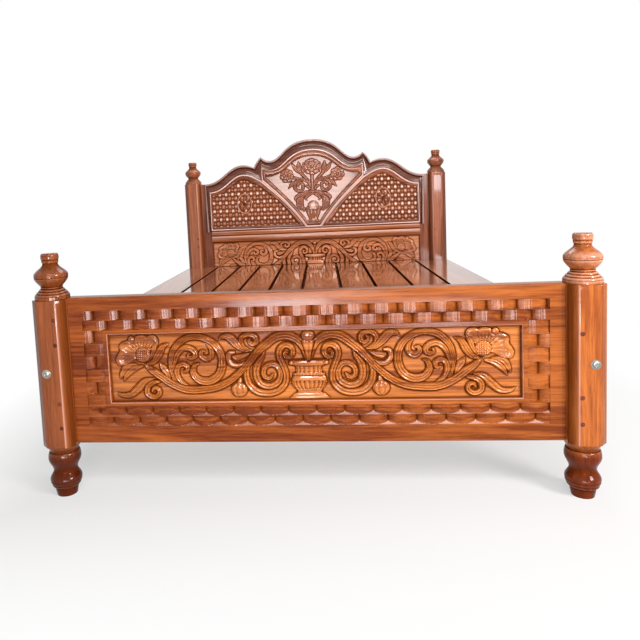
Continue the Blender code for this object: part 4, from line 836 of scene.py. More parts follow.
def post_angles():
    """Angles round a post, closer together at the corners of the chamfers."""
    half = POST_SIZE / 2
    corner = math.degrees(math.atan2(half - POST_CHAMFER, half))
    first = [corner * i / 5 for i in range(4)]
    first += [corner + d for d in (-3.0, -1.8, -0.9, 0.0, 0.9, 1.8, 3.0)]
    slope = [corner + (90 - 2 * corner) * i / 4 for i in (1, 2, 3)]
    quadrant = first + slope + [90 - a for a in reversed(first) if a > 0]
    return np.radians([90 * turn + a for turn in range(4) for a in quadrant])


def chamfer_shading(angles, side):
    """Painted shade on both front chamfers; the one beside the board is darkest next to it and has a painted
    highlight along its front edge.
    """
    reach = math.pi / 4 - math.atan2(POST_SIZE / 2 - POST_CHAMFER, POST_SIZE / 2)
    inner = side * (angles - math.radians(270 - 45 * side)) / reach
    across = np.interp(inner, (-1.0, 0.2, 0.7, 1.0, 1.1), (0.9, 0.5, 0.0, -0.5, 0.0))
    stain_and_shading = np.where(np.abs(inner) < 1.1, across, 0.0)
    outer = (angles - math.radians(270 + 45 * side)) / reach
    return np.where(np.abs(outer) < 1.0, 0.35, stain_and_shading)


def groove_shading(profile):
    """Painted shade in the grooves of a turning and painted highlights on its beads."""
    levels, radii = np.array(profile).T
    even = np.arange(levels[0], levels[-1], GROOVE_STEP)
    mean = smoothed(np.interp(even, levels, radii), round(GROOVE_REACH / GROOVE_STEP))
    from_ends = np.minimum(levels - levels[0], levels[-1] - levels)
    sunk = (np.interp(levels, even, mean) - radii) / GROOVE_DEPTH
    return np.clip(sunk, -0.35, 0.8) * np.clip(from_ends / GROOVE_REACH, 0, 1)


def make_post(name, side, y):
    """A post with a turned foot, a chamfered body and a turned finial."""
    angles = post_angles()
    cos, sin = np.cos(angles), np.sin(angles)
    half = POST_SIZE / 2
    sides = np.stack([np.abs(cos) / half, np.abs(sin) / half,
                      (np.abs(cos) + np.abs(sin)) / (POST_SIZE - POST_CHAMFER)])
    octagon = (sides ** POST_EDGE_POWER).sum(axis=0) ** (-1 / POST_EDGE_POWER)
    circle = np.ones(len(angles))
    body_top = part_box(name)[1][2] - finial_profile(0.0)[-1][0]
    foot, finial = foot_profile(), finial_profile(body_top)
    body = [(FOOT_TURNING, octagon * BODY_EASED), (FOOT_TURNING + BODY_EASING, octagon)]
    body += [(z, octagon) for z in np.linspace(FOOT_TURNING + 0.02, body_top - 0.02, 8)]
    body += [(body_top - BODY_EASING, octagon), (body_top, octagon * BODY_EASED)]
    x = side * (POST_INNER + half)
    points = []
    for z, r in foot + body + finial:
        points.append(np.column_stack([x + r * cos, y + r * sin, z * circle]))
    # Darker feet, painted shade and highlights on the chamfers, grooves and beads, and darker finials
    stain_and_shading = np.vstack([np.outer(FOOT_DARKENING + groove_shading(foot), circle),
                       np.tile(chamfer_shading(angles, side), (len(body), 1)),
                       np.outer(FINIAL_DARKENING[name] + groove_shading(finial), circle)])
    material = teak("teak_" + name, "z", POST_TONES[name], shift=1.3 * x + 0.7 * y, coat=POST_COATS[y > 0],
                    spread=0.95, painted_gleam=0.3, foot=(FOOT_TURNING, 0.34), gloss=0.05)
    add_piece(lathe(name + "_turned", points, stain_and_shading), material, "post_teak", name)


def make_posts():
    """The four posts."""
    for which, y in (("foot", -POST_Y), ("head", POST_Y)):
        for name, side in SIDES:
            make_post("%s_post_%s" % (which, name), side, y)


def turned_along_y(name, place, outward, profile, sides=28):
    """A small round body on a line along Y; the profile lists (distance outward, radius)."""
    angle = 2 * math.pi * np.arange(sides) / sides
    x, y, z = place
    rings = []
    for reach, radius in profile:
        rings.append(np.column_stack([x + radius * np.cos(angle), np.full(sides, y + outward * reach),
                                      z - outward * radius * np.sin(angle)]))
    return lathe(name, rings)


def make_peg(node):
    """A dark peg with a softly domed end."""
    low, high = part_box(node)
    middle = (low + high) / 2
    profile = [(low[1] - high[1] + 0.002, PEG_RADIUS), (0.0, PEG_RADIUS)]
    for reach, share in ((0.0002, 1.0), (0.0007, 0.9), (0.001, 0.6), (0.0011, 0.2)):
        profile.append((reach, share * PEG_RADIUS))
    mesh = turned_along_y(node + "_round", (middle[0], low[1] + 0.0008, middle[2]), -1, profile)
    add_piece(mesh, PEG_WOOD if middle[1] < 0 else PEG_PALE, "peg_wood", node)


def make_bolt(node):
    """A bolt with a domed head on a thin flange."""
    low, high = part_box(node)
    middle = (low + high) / 2
    outward = -1 if middle[1] < 0 else 1
    shaft = high[1] - low[1] - BOLT_HEAD
    profile = [(-shaft, 0.0035), (-shaft + 0.001, 0.005), (-0.001, 0.005), (0.0003, 0.0130)]
    profile += [(0.0012, 0.0132), (0.0017, 0.0128), (0.0018, 0.0098)]
    profile += quarter(0.0020, 0.0096, 0.0058, 0.0050, False, 8)
    profile += [(0.0058, 0.0048), (0.0040, 0.0044), (0.0038, 0.001)]
    face = outward * (POST_Y + POST_SIZE / 2)
    mesh = turned_along_y(node + "_head", (middle[0], face, middle[2]), outward, profile)
    add_piece(mesh, CHROME, "bolt_chrome", node)


def make_pegs_and_bolts():
    """The pegs and the bolts of all posts."""
    for node in sorted(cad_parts):
        if "_peg_" in node:
            make_peg(node)
        elif "_bolt_" in node:
            make_bolt(node)


# Footboard


def strand_depth(x, z, row):
    """Depth of one strand of the weave: pillowed bricks, dark slots, and a sloped cut under each slot."""
    low, high, weave, bulge = row
    turns = (x - bulge) / weave["pitch"]
    share = np.abs(turns - np.round(turns)) * 2
    slot = np.clip((share - weave["brick"]) / (1 - weave["brick"]), 0, 1)
    sink = weave["round"] * share ** weave["power"]
    wobble = 1.6 * np.sin(2 * math.pi * turns * 1.7 + 90 * low)
    chisel = CHISEL_DEPTH * (1 + np.sin(2 * math.pi * x / CHISEL_PITCH + wobble))
    depth = WEAVE_SKIN + chisel + WEAVE_DEPTH * (sink + (1 - sink) * slot)
    return np.where((z > low) & (z < high), np.minimum(depth, WEAVE_SKIN + (z - low) * weave["facet"]), 0.0)


def weave_depth(x, z, rows):
    """Depth of several strands."""
    return sum(strand_depth(x, z, row) for row in rows)


def weave_rows():
    """Strands over, under and beside the panel: bottom, top, weave and the place of one bulge."""
    over, under, strand = PANEL_TOP + WEAVE_LIP, PANEL_BOTTOM - WEAVE_LIP, WEAVE_STRAND
    starts = [(weave["start"], weave["start"] + weave["pitch"] / 2) for weave in (TOP_WEAVE, BOTTOM_WEAVE)]
    over_rows = [(over, over + strand, TOP_WEAVE, starts[0][1]),
                 (over + strand, over + 2 * strand, TOP_WEAVE, starts[0][0])]
    under_rows = [(under - strand, under, BOTTOM_WEAVE, starts[1][0]),
                  (under - 2 * strand, under - strand, BOTTOM_WEAVE, starts[1][1])]
    height = (over - under) / SIDE_WEAVE["rows"]
    side_rows = {}
    for name, side in SIDES:
        middle = side * (PANEL_HALF + WEAVE_LIP + strand)
        side_rows[name] = []
        for k in range(SIDE_WEAVE["rows"]):
            aside = (k % 2 == 1) == (side < 0)
            bulge = middle + (SIDE_WEAVE["pitch"] / 2 if aside else 0.0)
            side_rows[name].append((under + height * k, under + height * (k + 1), SIDE_WEAVE, bulge))
    return over_rows, under_rows, side_rows


def with_breaks(values, breaks, gap=0.00004):
    """Grid lines with a close pair at each step of the relief."""
    extra = [b + d for b in breaks for d in (-gap, gap)]
    return np.unique(np.concatenate([values, extra]))


def level_lines(node, rows, step):
    """Grid lines up a board, which follow its strands and the rounded edges at both ends."""
    low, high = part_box(node)
    levels = sorted({level for row in rows for level in row[:2]})
    edge = EDGE_ROUND * EDGE_SHARES
    lines = [np.arange(levels[0], levels[-1], step), low[2] + edge, high[2] - edge]
    return with_breaks(np.concatenate(lines), levels)


def rounded_edge(inside_by):
    """Depth of a rounded edge at a distance inside it."""
    near = np.clip(EDGE_ROUND - inside_by, 0, EDGE_ROUND)
    return EDGE_ROUND - np.sqrt(EDGE_ROUND ** 2 - near ** 2)


def frame_board(node, x, z, depth, round_top, round_bottom):
    """One board of the footboard frame, its front carved with strands."""
    low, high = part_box(node)
    if round_top:
        depth = np.maximum(depth, rounded_edge(high[2] - z))
    if round_bottom:
        depth = np.maximum(depth, rounded_edge(z - low[2]))
    # Stain with painted shade in the weave's slots and at the bricks' ends; painted highlights on the sloped
    # cuts under the bottom slots
    hollow = np.clip(depth / WEAVE_DEPTH, 0, 1) ** 2.5 * 0.9
    slope = np.gradient(depth, axis=0) / np.gradient(z, axis=0)
    facets = (z < PANEL_BOTTOM - WEAVE_LIP) & (np.abs(slope - BOTTOM_WEAVE["facet"]) < 0.1)
    hollow = np.where(facets, FACET_HIGHLIGHT * np.interp(x, (-0.6, -0.1), (0.3, 1.0)), hollow)
    mesh = relief_board(node + "_woven", x, FRONT_Y + depth, z, high[1], hollow, WEAVE_ANGLE)
    add_piece(mesh, TEAK_FRAME, "footboard_teak", node)


def make_foot_frame():
    """Rails and stiles of the footboard with their basket weave."""
    over, under, side_rows = weave_rows()
    for node, rows in (("foot_top_rail", over), ("foot_bottom_rail", under)):
        x_lines = np.linspace(-PANEL_HALF, PANEL_HALF, WEAVE_COLUMNS)
        x, z = np.meshgrid(x_lines, level_lines(node, rows, 0.0016))
        frame_board(node, x, z, weave_depth(x, z, rows), rows is over, rows is under)
    start = PANEL_HALF + WEAVE_LIP
    end = start + 2 * WEAVE_STRAND
    across = np.append(np.arange(PANEL_HALF, end, 0.001), POST_INNER - SKIN_GAP)
    across = with_breaks(across, (start, end))
    for name, side in SIDES:
        node, rows = "foot_stile_" + name, side_rows[name]
        x, z = np.meshgrid(np.sort(side * across), level_lines(node, over + under + rows, 0.0018))
        out = np.abs(x)
        depth = weave_depth(x, z, over + under) * (out < end)
        depth = depth + weave_depth(x, z, rows) * ((out > start) & (out < end))
        frame_board(node, x, z, depth, True, True)


def make_panel_lip():
    """Moulding round the recess of the footboard panel."""
    corners = ((-1, -1), (1, -1), (1, 1), (-1, 1))
    middle, reach = (PANEL_BOTTOM + PANEL_TOP) / 2, (PANEL_TOP - PANEL_BOTTOM) / 2
    outer, inner = ([(s * (PANEL_HALF - w), middle + t * (reach - w)) for s, t in corners]
                    for w in (0.0, LIP_WIDTH))
    # The last value of each point: painted highlight on the lip's top and round, painted shade at its foot in
    # the recess
    section = [(0.0, 0.0, -0.002, 0.0), (0.0, 0.0, LIP_RISE, 0.0), (0.1, 0.0, LIP_RISE, -0.3)]
    for i in range(1, 9):
        angle = math.pi / 2 * i / 8
        rise = LIP_FOOT + (LIP_RISE - LIP_FOOT) * math.cos(angle)
        section.append((0.1 + 0.72 * math.sin(angle), 0.0, rise, 0.9 * i / 8 - 0.5))
    section += [(0.9, 0.0, LIP_FOOT, 0.6), (1.0, 0.0, 0.0015, 0.8), (1.0, 0.0, -0.002, 0.8)]
    add_piece(loft("panel_lip", outer, inner, section, PANEL_FRONT_Y, True), TEAK_FRAME, "footboard_teak")


# Headboard, with the right halves of its curves first


STEPS = 5
ARCH, EAR, FLANK, RISE, SLOPE = 10 * STEPS, 3 * STEPS, 8 * STEPS, 3 * STEPS, 9 * STEPS
JUNCTION = (0.3545, 1.041)
SHIELD_TIP = (0.283, 0.979)
CENTRE_CREST = outline((0.0, 1.194), ((0.255, 1.077), (0.67, 0), (0.31, 0), ARCH),
                       ((0.308, 1.102), (0.5, 0), (0.22, 0.5), EAR),
                       (JUNCTION, (0.36, 0.16), (0.31, 0.41), EAR))
SIDE_CREST = outline(JUNCTION, ((PEAK_X, 1.0585), (0.35, 0.7), (0.33, 0), RISE),
                     ((0.662, 0.9525), (0.40, 0), (0.46, 0), SLOPE))
SHIELD_ARCH = outline((0.0, 1.094), (SHIELD_TIP, (0.5, 0), (0.5, 0), ARCH + EAR))
SHIELD_FLANK = outline(SHIELD_TIP, ((0.036, 0.698), (0.375, 0.325), (0.26, 0.365), FLANK))
OUTER_ARCH = outline((0.0, 1.136), ((0.255, 1.021), (0.60, 0), (0.36, 0), ARCH),
                     ((0.308, 1.036), (0.45, 0), (0.20, 0), EAR))
OUTER_FLANK = outline((0.308, 0.957), ((0.041, 0.663), (0.36, 0.30), (0.27, 0.375), FLANK))
LATTICE_EDGE = outline((0.0925, 0.684), ((PEAK_X, 0.968), (0.26, 0.46), (0.28, 0.06), FLANK + RISE),
                       ((0.6215, 0.8805), (0.25, 0), (0.50, 0), SLOPE))
LATTICE_FLANK = OUTER_FLANK[::-1] + (0.0006, -0.0003)
LATTICE_ARCH = outline(LATTICE_FLANK[-1], ((PEAK_X, 1.002), (0.30, 0.42), (0.40, 0), RISE),
                       ((0.6357, 0.9025), (0.36, 0), (0.45, 0), SLOPE))


def round_section(width, low, high, stain_and_shading, steps=8):
    """Half-round bead of a moulding, from its outer edge."""
    section = []
    for share in np.arange(steps + 1) / steps:
        angle = math.pi * share
        section.append((0.0, width * (1 - math.cos(angle)) / 2, low + (high - low) * math.sin(angle),
                        np.interp(share, BEAD_SHARES, stain_and_shading)))
    return section


def frame_section():
    """Section of the frames round the openings: a bead, then a band that slopes to the opening; the bead
    carries painted highlights, and painted shade lies at the edges.
    """
    section = [(0.0, 0.0, 0.0, 0.5)] + round_section(0.0105, 0.0055, 0.0125, FRAME_BEAD_SHADING)
    section += [(0.10, 0.0085, 0.0062, 0.4), (0.45, 0.0040, 0.0075, 0.0), (0.85, 0.0, 0.0060, 0.1)]
    return section + [(0.94, 0.0, 0.0040, 0.5), (1.0, 0.0, 0.003, 0.9), (1.0, 0.0, 0.0, 0.9)]


def crown_section():
    """Section of the crest moulding: a round outer bead, a cove and a raised inner edge, with painted
    highlights on the bead and painted shade in the cove.
    """
    section = [(0.0, 0.0, 0.0, 0.0)] + round_section(0.0155, 0.0090, 0.018, CREST_BEAD_SHADING, 12)
    section += [(0.06, 0.0140, 0.0070, 0.8), (0.12, 0.0140, 0.0055, 0.6)]
    for i in range(1, 8):
        share = i / 8
        section.append((0.12 + 0.78 * share, 0.014 * (1 - share), 0.0055 + 0.0062 * share ** 2,
                        0.4 * (1 - share) ** 2 - 0.1 * share))
    return section + [(0.97, 0.0, 0.0117, 0.2), (1.0, -0.0005, 0.0100, 0.6), (1.0, -0.0005, 0.0, 0.6)]


def add_moulding(node, outer, inner, section, closed, material):
    """A moulding on the face of the headboard."""
    mesh = loft(node + "_fine", outer, inner, section, HEAD_FACE - SKIN_GAP, closed)
    add_piece(mesh, material, "headboard_teak", node)


def make_frames():
    """Beaded frames round the shield and the lattice openings."""
    outer = np.vstack([OUTER_ARCH, OUTER_FLANK])
    inner = np.vstack([SHIELD_ARCH, SHIELD_FLANK])
    add_moulding("shield_frame", both_sides(outer), both_sides(inner), frame_section(), True, TEAK_HEAD)
    outer = np.vstack([LATTICE_FLANK[:-1], LATTICE_ARCH])
    outer, inner = (dropped(path, path[0][1]) for path in (outer, LATTICE_EDGE))
    for name, side in SIDES:
        add_moulding("lattice_frame_" + name, mirrored(outer, side), mirrored(inner, side),
                     frame_section(), True, TEAK_HEAD)


def make_crest_mouldings():
    """Serpentine crest moulding: one length over the shield and one over each lattice."""
    corner, hip = OUTER_ARCH[-1], LATTICE_ARCH[0]
    beside = corner + (hip - corner) * (np.arange(1, EAR + 1) / EAR)[:, None]
    inner = np.vstack([OUTER_ARCH, beside])
    add_moulding("crest_moulding_centre", both_sides(CENTRE_CREST), both_sides(inner), crown_section(), False,
                 TEAK_MOULDING)
    outer, inner = (dropped(path, CREST_FOOT) for path in (SIDE_CREST, LATTICE_ARCH))
    for name, side in SIDES:
        add_moulding("crest_moulding_" + name, mirrored(outer, side), mirrored(inner, side), crown_section(),
                     False, TEAK_MOULDING)


def make_lattice():
    """Lattice panels: rows of large and small studs in turn on a ground darkened by stain and painted shade;
    the studs carry painted highlights.
    """
    (start, bottom), (end, _) = LATTICE_EDGE[0] + SKIN_GAP, LATTICE_EDGE[-1] - SKIN_GAP
    x_line = np.linspace(start, end, LATTICE_GRID[1])
    high = np.interp(x_line, LATTICE_EDGE[:, 0], LATTICE_EDGE[:, 1])
    x, z = field_grid(x_line, np.full_like(x_line, bottom), high, LATTICE_GRID[0])
    a = (x - LATTICE_START[0]) / LATTICE_CELL[0]
    b = (z - LATTICE_START[1]) / LATTICE_CELL[1]
    row = np.round(b)
    odd = row % 2
    large = 2 * np.round((a - odd) / 2) + odd
    small = 2 * np.round((a - 1 - odd) / 2) + 1 + odd
    for name, side in SIDES:
        height = np.zeros_like(x)
        hollow = np.full_like(x, LATTICE_STAIN_AND_SHADE)
        stud_highlights = (np.where(odd == 1, ODD_ROW_HIGHLIGHT, STUD_HIGHLIGHT[name]), SMALL_STUD_HIGHLIGHT)
        for column, radius, rise, highlight in zip((large, small), STUD_RADII, STUD_RISES, stud_highlights):
            beside, above = (a - column) * LATTICE_CELL[0], (b - row) * LATTICE_CELL[1] / STUD_TALLER
            away = np.hypot(beside, above) / radius
            dome = np.sqrt(np.clip(1 - away ** 2, 0, 1))
            height = np.maximum(height, rise * dome)
            polished = LATTICE_STAIN_AND_SHADE - 0.5 * dome - (0.12 + highlight) * dome ** 4
            hollow = np.where(away < 1, np.minimum(hollow, polished), hollow)
        x_side, y_side, z_side, stain_and_shading = (f[:, ::side] for f in (side * x, FIELD_Y - height, z, hollow))
        mesh = relief_board("lattice_panel_%s_carved" % name, x_side, y_side, z_side, FIELD_BACK_Y, stain_and_shading)
        add_piece(mesh, TEAK_LATTICE, "headboard_teak", "lattice_panel_" + name)


def make_medallions():
    """Oval medallions: a rim with a painted highlight round a flower of eight petals, with painted shade in
    the outer groove and round the petals.
    """
    rings, sides = 36, 96
    radius = np.linspace(1.0, 0.0, rings)[:, None]
    angle = (2 * math.pi * np.arange(sides) / sides)[None, :]
    rim = np.exp(-((radius - 0.85) / 0.09) ** 4)
    inside = np.clip((radius - 0.16) / 0.54, 0, 1)
    petal = np.abs(np.cos(4 * angle)) ** 0.7 * np.sin(math.pi * inside) ** 0.6
    middle = np.clip(1 - (radius / 0.20) ** 2, 0, 1) ** 0.5
    rise = 0.0030 + 0.0070 * rim + 0.0060 * petal + 0.0070 * middle
    rise = np.where(radius > 0.995, 0.0, rise)
    groove = np.clip((radius - 0.9) / 0.06, 0, 1)
    hollow = np.maximum(0.95 * groove, 0.75 - 0.5 * petal) * (1 - rim) - 0.1 * rim
    faces = [f[::-1] for f in grid_faces(rings, sides, True)] + [np.arange(sides)]
    for name, side in SIDES:
        x = side * PEAK_X + MEDALLION_HALF[0] * radius * np.cos(angle)
        z = MEDALLION_LEVEL + MEDALLION_HALF[1] * radius * np.sin(angle)
        points = np.stack([x, FIELD_Y - SKIN_GAP - rise, z], axis=-1).reshape(-1, 3)
        mesh = make_mesh("medallion_%s_carved" % name, points, faces, hollow)
        add_piece(mesh, TEAK_LATTICE, "headboard_teak", "medallion_" + name)


def shield_carving(relief):
    """Right half of the vase of flowers on the shield; v is the level above the floor."""
    relief.stroke(6.0, 3, [(2, 882, 6), (28, 874, 12), (54, 862, 12), (70, 842, 9), (74, 826, 3)])
    relief.stroke(5.5, 2, [(60, 872, 2), (84, 860, 9), (105, 842, 8), (104, 826, 2)])
    relief.stroke(6.0, 6, [(60, 852, 7), (78, 826, 19), (78, 796, 20), (58, 768, 7)])
    relief.stroke(5.5, 2, [(4, 866, 4), (20, 862, 8), (36, 850, 8), (44, 836, 5), (37, 828, 2)])
    relief.stroke(5.5, 2, [(10, 888, 2), (24, 908, 8), (46, 917, 2)])
    relief.stroke(5.5, 2, [(100, 948, 3), (124, 930, 10), (148, 903, 0.5)])
    relief.stroke(6.0, 2, [(2, 892, 4), (14, 930, 6), (44, 968, 7), (72, 996, 7), (84, 1010, 5)])
    relief.stroke(5.5, 2, [(56, 990, 3), (50, 1022, 10), (50, 1056, 1)])
    relief.stroke(5.5, 2, [(78, 996, 4), (98, 1022, 11), (121, 1054, 1)])
    relief.stroke(6.5, 3, [(66, 990, 5), (76, 1022, 15), (79, 1060, 3)])
    relief.stroke(6.5, 3, [(0, 872, 5), (12, 920, 7), (42, 950, 8), (78, 954, 9), (106, 932, 9),
                           (105, 900, 9), (82, 884, 8), (60, 896, 8), (57, 922, 7.5), (73, 936, 7),
                           (88, 926, 6), (84, 912, 3)])
    relief.stroke(6.0, 2, [(72, 955, 4), (100, 964, 7), (125, 968, 4)])
    relief.rose(7.5, (154, 980), 41, 7)
    relief.stroke(6.0, 1, [(0, 890, 6), (0, 935, 7), (0, 985, 8)])
    relief.rose(7.5, (0, 1030), 50, 8)
    relief.turned(5.5, [(775, 30), (788, 33), (802, 30), (814, 21), (820, 12)])
    relief.turned(8.0, [(784, 43), (779, 47), (772, 46), (762, 42), (745, 39), (726, 31), (712, 22),
                        (706, 24), (698, 34)], [(712, 770, 5, 2.0)])


def make_shield():
    """Shield panel: a polished ground with a vase of flowers, and a painted highlight on the dome of the
    vase.
    """
    carved_to, edge = 0.19, SHIELD_TIP[0] - 0.0005
    x_line = np.concatenate([np.linspace(0, carved_to, 112), np.linspace(carved_to, edge, 46)[1:]])
    arch, flank = SHIELD_ARCH[:-1], SHIELD_FLANK[::-1]
    high = np.interp(x_line, arch[:, 0], arch[:, 1]) - SKIN_GAP
    low = np.interp(x_line, flank[:, 0], flank[:, 1]) + SKIN_GAP
    x, z = field_grid(x_line, low, high, SHIELD_FACE_ROWS)
    (bottom, top), (rows, cols) = SHIELD_LEVELS, SHIELD_GRID
    relief = Relief(np.linspace(0, SHIELD_WIDTH, cols), np.linspace(bottom, top, rows))
    shield_carving(relief)
    hollow = relief.hollow(4, 1.4, 0.6, 0.1)
    hollow[np.hypot(relief.u / 26, (relief.v - 797) / 16) < 1] = DOME_HIGHLIGHT
    col = np.clip(x / MM * (cols - 1) / SHIELD_WIDTH, 0, cols - 1.01)
    row = np.clip((z / MM - bottom) * (rows - 1) / (top - bottom), 0, rows - 1.01)
    height, hollow = (both_halves(sampled(field, row, col)) for field in (relief.height, hollow))
    mesh = relief_board("shield_panel_carved", both_halves(x, -1), FIELD_Y - height * MM, both_halves(z),
                        FIELD_BACK_Y, hollow)
    add_piece(mesh, TEAK_SHIELD, "headboard_teak", "shield_panel")


def make_mid_rail():
    """Middle rail of the headboard: a flat band with soft edges over a round nose."""
    low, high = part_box("head_mid_rail")
    top = high[2]
    # The last value of each point: painted highlights along the top edge and on the nose's upper part,
    # painted shade in the crease above the nose and under it
    section = [(high[1], low[2], 0.0), (high[1], top, 0.0), (RAIL_FACE + 0.002, top, -0.2),
               (RAIL_FACE + 0.0004, top - 0.0008, -0.7), (RAIL_FACE, top - 0.002, -0.7),
               (RAIL_FACE, top - 0.006, 0.0), (RAIL_FACE, RAIL_BAND + 0.0065, 0.1),
               (RAIL_FACE, RAIL_BAND, 0.3),
               (RAIL_FACE + 0.0006, RAIL_BAND - 0.0013, 0.6), (HEAD_FACE, RAIL_BAND - 0.0045, 0.9),
               (HEAD_FACE + 0.0002, RAIL_BAND - 0.0055, 0.9)]
    for i in range(1, 20):
        angle = math.pi * i / 20
        stain_and_shading = np.interp(i, (1, 3, 5, 8, 11, 16, 19), (0.5, -0.6, -0.6, -0.1, 0.0, 0.2, 0.8))
        y, z = HEAD_FACE - NOSE_RISE * math.sin(angle), NOSE_LEVEL + NOSE_HALF * math.cos(angle)
        section.append((y, z, stain_and_shading))
    section.append((HEAD_FACE, low[2], 0.9))
    half = HALF_BOARD - SKIN_GAP
    rings = [[(x, y, z) for y, z, _ in section] for x in np.linspace(-half, half, 40)]
    hollow = np.tile([stain_and_shading for _, _, stain_and_shading in section], (len(rings), 1))
    add_piece(lathe("head_mid_rail_fine", rings, hollow), TEAK_RAIL, "headboard_teak", "head_mid_rail")


# The frame's own pieces that stay


def plank_teak(node, item):
    """Teak of one deck plank, in its own tone and with painted shade along its edges, beside the gaps."""
    number = int(node[-2:])
    level = 0.86 + 0.28 * ((number * 0.618) % 1.0)
    left, right = (pick(corner[0] for corner in item.bound_box) for pick in (min, max))
    return teak("teak_" + node, "y", [level * c for c in DECK_TONE], shift=1.7 * number,
                coat=EDGE_PLANK_COATS.get(number, 1.0), gloss=0.085,
                edges=((left + right) / 2, (right - left) / 2))


def dress_nodes():
    """Materials of the pieces of the frame that keep their shape."""
    for node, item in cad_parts.items():
        if node.startswith("deck_plank"):
            material = plank_teak(node, item)
        else:
            material = next((m for start, m in NODE_MATERIALS.items() if node.startswith(start)), None)
        if material:
            item.data.materials.clear()
            item.data.materials.append(material)


# Stage, light and camera


def seen_rays(tree):
    """One on rays from the camera and on those that mirrors or glass pass on, else nought."""
    path = add_node(tree, "LightPath")
    seen = math_node(tree, "MAXIMUM", path.outputs["Is Camera Ray"], path.outputs["Is Glossy Ray"])
    return math_node(tree, "MAXIMUM", seen, path.outputs["Is Transmission Ray"])


def make_floor():
    """Plain pale floor that keeps the bed's soft shadow and runs out into the white background."""
    mesh = bpy.data.meshes.new("floor")
    corners = [(s * FLOOR_HALF, t * FLOOR_HALF, 0) for s, t in ((-1, -1), (1, -1), (1, 1), (-1, 1))]
    mesh.from_pydata(corners, [], [(0, 1, 2, 3)])
    floor = bpy.data.objects.new("floor", mesh)
    bpy.context.scene.collection.objects.link(floor)
    material, tree, _ = new_material("pale_floor")
    tree.nodes.clear()
    matt = add_node(tree, "BsdfDiffuse", Color=(FLOOR_GREY, FLOOR_GREY, FLOOR_GREY, 1.0))
    glow = add_node(tree, "Emission", Color=(*WHITE, 1.0), Strength=1.0)
    away = []
    for axis, end in zip("XY", CAD_BOX[1]):
        away.append(math_node(tree, "SUBTRACT", math_node(tree, "ABSOLUTE", object_axis(tree, axis)), end))
    far = add_node(tree, "MapRange", Value=math_node(tree, "MAXIMUM", *away), From_Min=0.0,
                   From_Max=FLOOR_FADE, To_Min=FLOOR_WHITE[0], To_Max=FLOOR_WHITE[1])
    mix = add_node(tree, "MixShader", Fac=math_node(tree, "MULTIPLY", seen_rays(tree), far.outputs["Result"]))
    tree.links.new(matt.outputs["BSDF"], mix.inputs[1])
    tree.links.new(glow.outputs["Emission"], mix.inputs[2])
    add_node(tree, "OutputMaterial", Surface=mix.outputs["Shader"])
    mesh.materials.append(material)


def make_world():
    """White for the camera and for reflections, a softer grey for the light it gives."""
    world = bpy.data.worlds.new("studio")
    bpy.context.scene.world = world
    world.use_nodes = True
    tree = world.node_tree
    level = add_node(tree, "MapRange", Value=seen_rays(tree), To_Min=WORLD_LEVELS[0], To_Max=WORLD_LEVELS[1])
    feed(tree, tree.nodes["Background"].inputs["Strength"], level.outputs["Result"])
    feed(tree, tree.nodes["Background"].inputs["Color"], (*WHITE, 1.0))


def add_lamp(name, place, target, size, power, colour, spread=180):
    """A soft rectangular lamp aimed at a point; a smaller spread makes a beam of it."""
    lamp = bpy.data.lights.new(name, "AREA")
    lamp.shape = "RECTANGLE"
    lamp.size, lamp.size_y = size
    lamp.energy = power
    lamp.color = colour
    lamp.spread = math.radians(spread)
    item = bpy.data.objects.new(name, lamp)
    item.location = place
    item.rotation_euler = (Vector(target) - Vector(place)).to_track_quat("-Z", "Y").to_euler()
    bpy.context.scene.collection.objects.link(item)


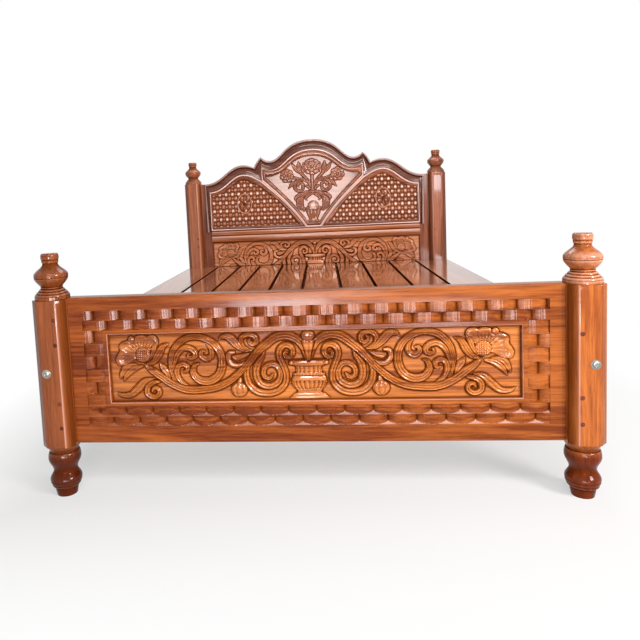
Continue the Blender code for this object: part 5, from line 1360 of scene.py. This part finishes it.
def make_lights():
    """A window and a door behind the camera, a sky strip, a key from the right, low bounces and a softbox."""
    warm = (1.0, 0.96, 0.93)
    pink = (1.0, 0.90, 0.90)
    add_lamp("window", (-0.1, -5.0, 0.90), (-0.1, 0.0, 0.8), (1.4, 1.4), 58, warm)
    add_lamp("door", (1.85, -5.0, 1.15), (0.74, 0.95, 0.95), (0.5, 0.6), 14, (0.93, 0.95, 1.0))
    add_lamp("sky", (0.6, -3.0, 3.0), (0.1, -1.0, 0.4), (2.6, 0.45), 58, (1.0, 0.97, 0.96))
    add_lamp("key", (2.2, -2.6, 1.6), (0.4, -0.9, 0.4), (0.8, 0.8), 95, warm)
    add_lamp("bounce_left", (-0.25, -3.2, 0.175), (-0.35, -1.0, 0.4), (0.60, 0.34), 2.4, pink, 52)
    add_lamp("bounce_middle", (0.28, -3.2, 0.125), (0.28, -1.0, 0.4), (0.44, 0.24), 3.2, pink)
    add_lamp("bounce_right", (0.775, -3.2, 0.08), (0.775, -1.0, 0.3), (0.45, 0.145), 9, pink)
    add_lamp("overhead", (0.3, 0.9, 3.0), (0.0, 0.6, 0.4), (2.0, 1.2), 38, warm)


def make_camera():
    """Camera at the photograph's place, turned, tipped, rolled and shifted as fitted."""
    data = bpy.data.cameras.new("camera")
    data.lens = CAMERA_LENS
    data.sensor_width = CAMERA_SENSOR
    data.shift_x, data.shift_y = CAMERA_SHIFT
    data.clip_end = CAMERA_REACH
    place = Matrix.Translation(CAMERA_PLACE)
    for angle, axis in ((CAMERA_YAW, "Z"), (90 - CAMERA_PITCH, "X"), (CAMERA_ROLL, "Z")):
        place = place @ Matrix.Rotation(math.radians(angle), 4, axis)
    camera = bpy.data.objects.new("camera", data)
    camera.matrix_world = place
    bpy.context.scene.collection.objects.link(camera)
    bpy.context.scene.camera = camera


make_posts()
make_pegs_and_bolts()
make_foot_frame()
make_panel_lip()
scroll_board("foot_panel", "foot_panel_carved", PANEL_HALF - PANEL_GAP, PANEL_BOTTOM + PANEL_GAP,
             PANEL_TOP - PANEL_GAP, PANEL_FRONT_Y, FOOT_SCROLL, TEAK_PANEL, "footboard_teak")
scroll_board("head_scroll_panel", "head_scroll_carved", HALF_BOARD - SKIN_GAP, SCROLL_BOTTOM,
             SCROLL_TOP, FIELD_Y, HEAD_SCROLL, TEAK_SCROLL, "headboard_teak")
make_frames()
make_crest_mouldings()
make_lattice()
make_medallions()
make_shield()
make_mid_rail()
dress_nodes()
make_floor()
make_world()
make_lights()
make_camera()

bpy.context.scene.view_settings.view_transform = "Standard"
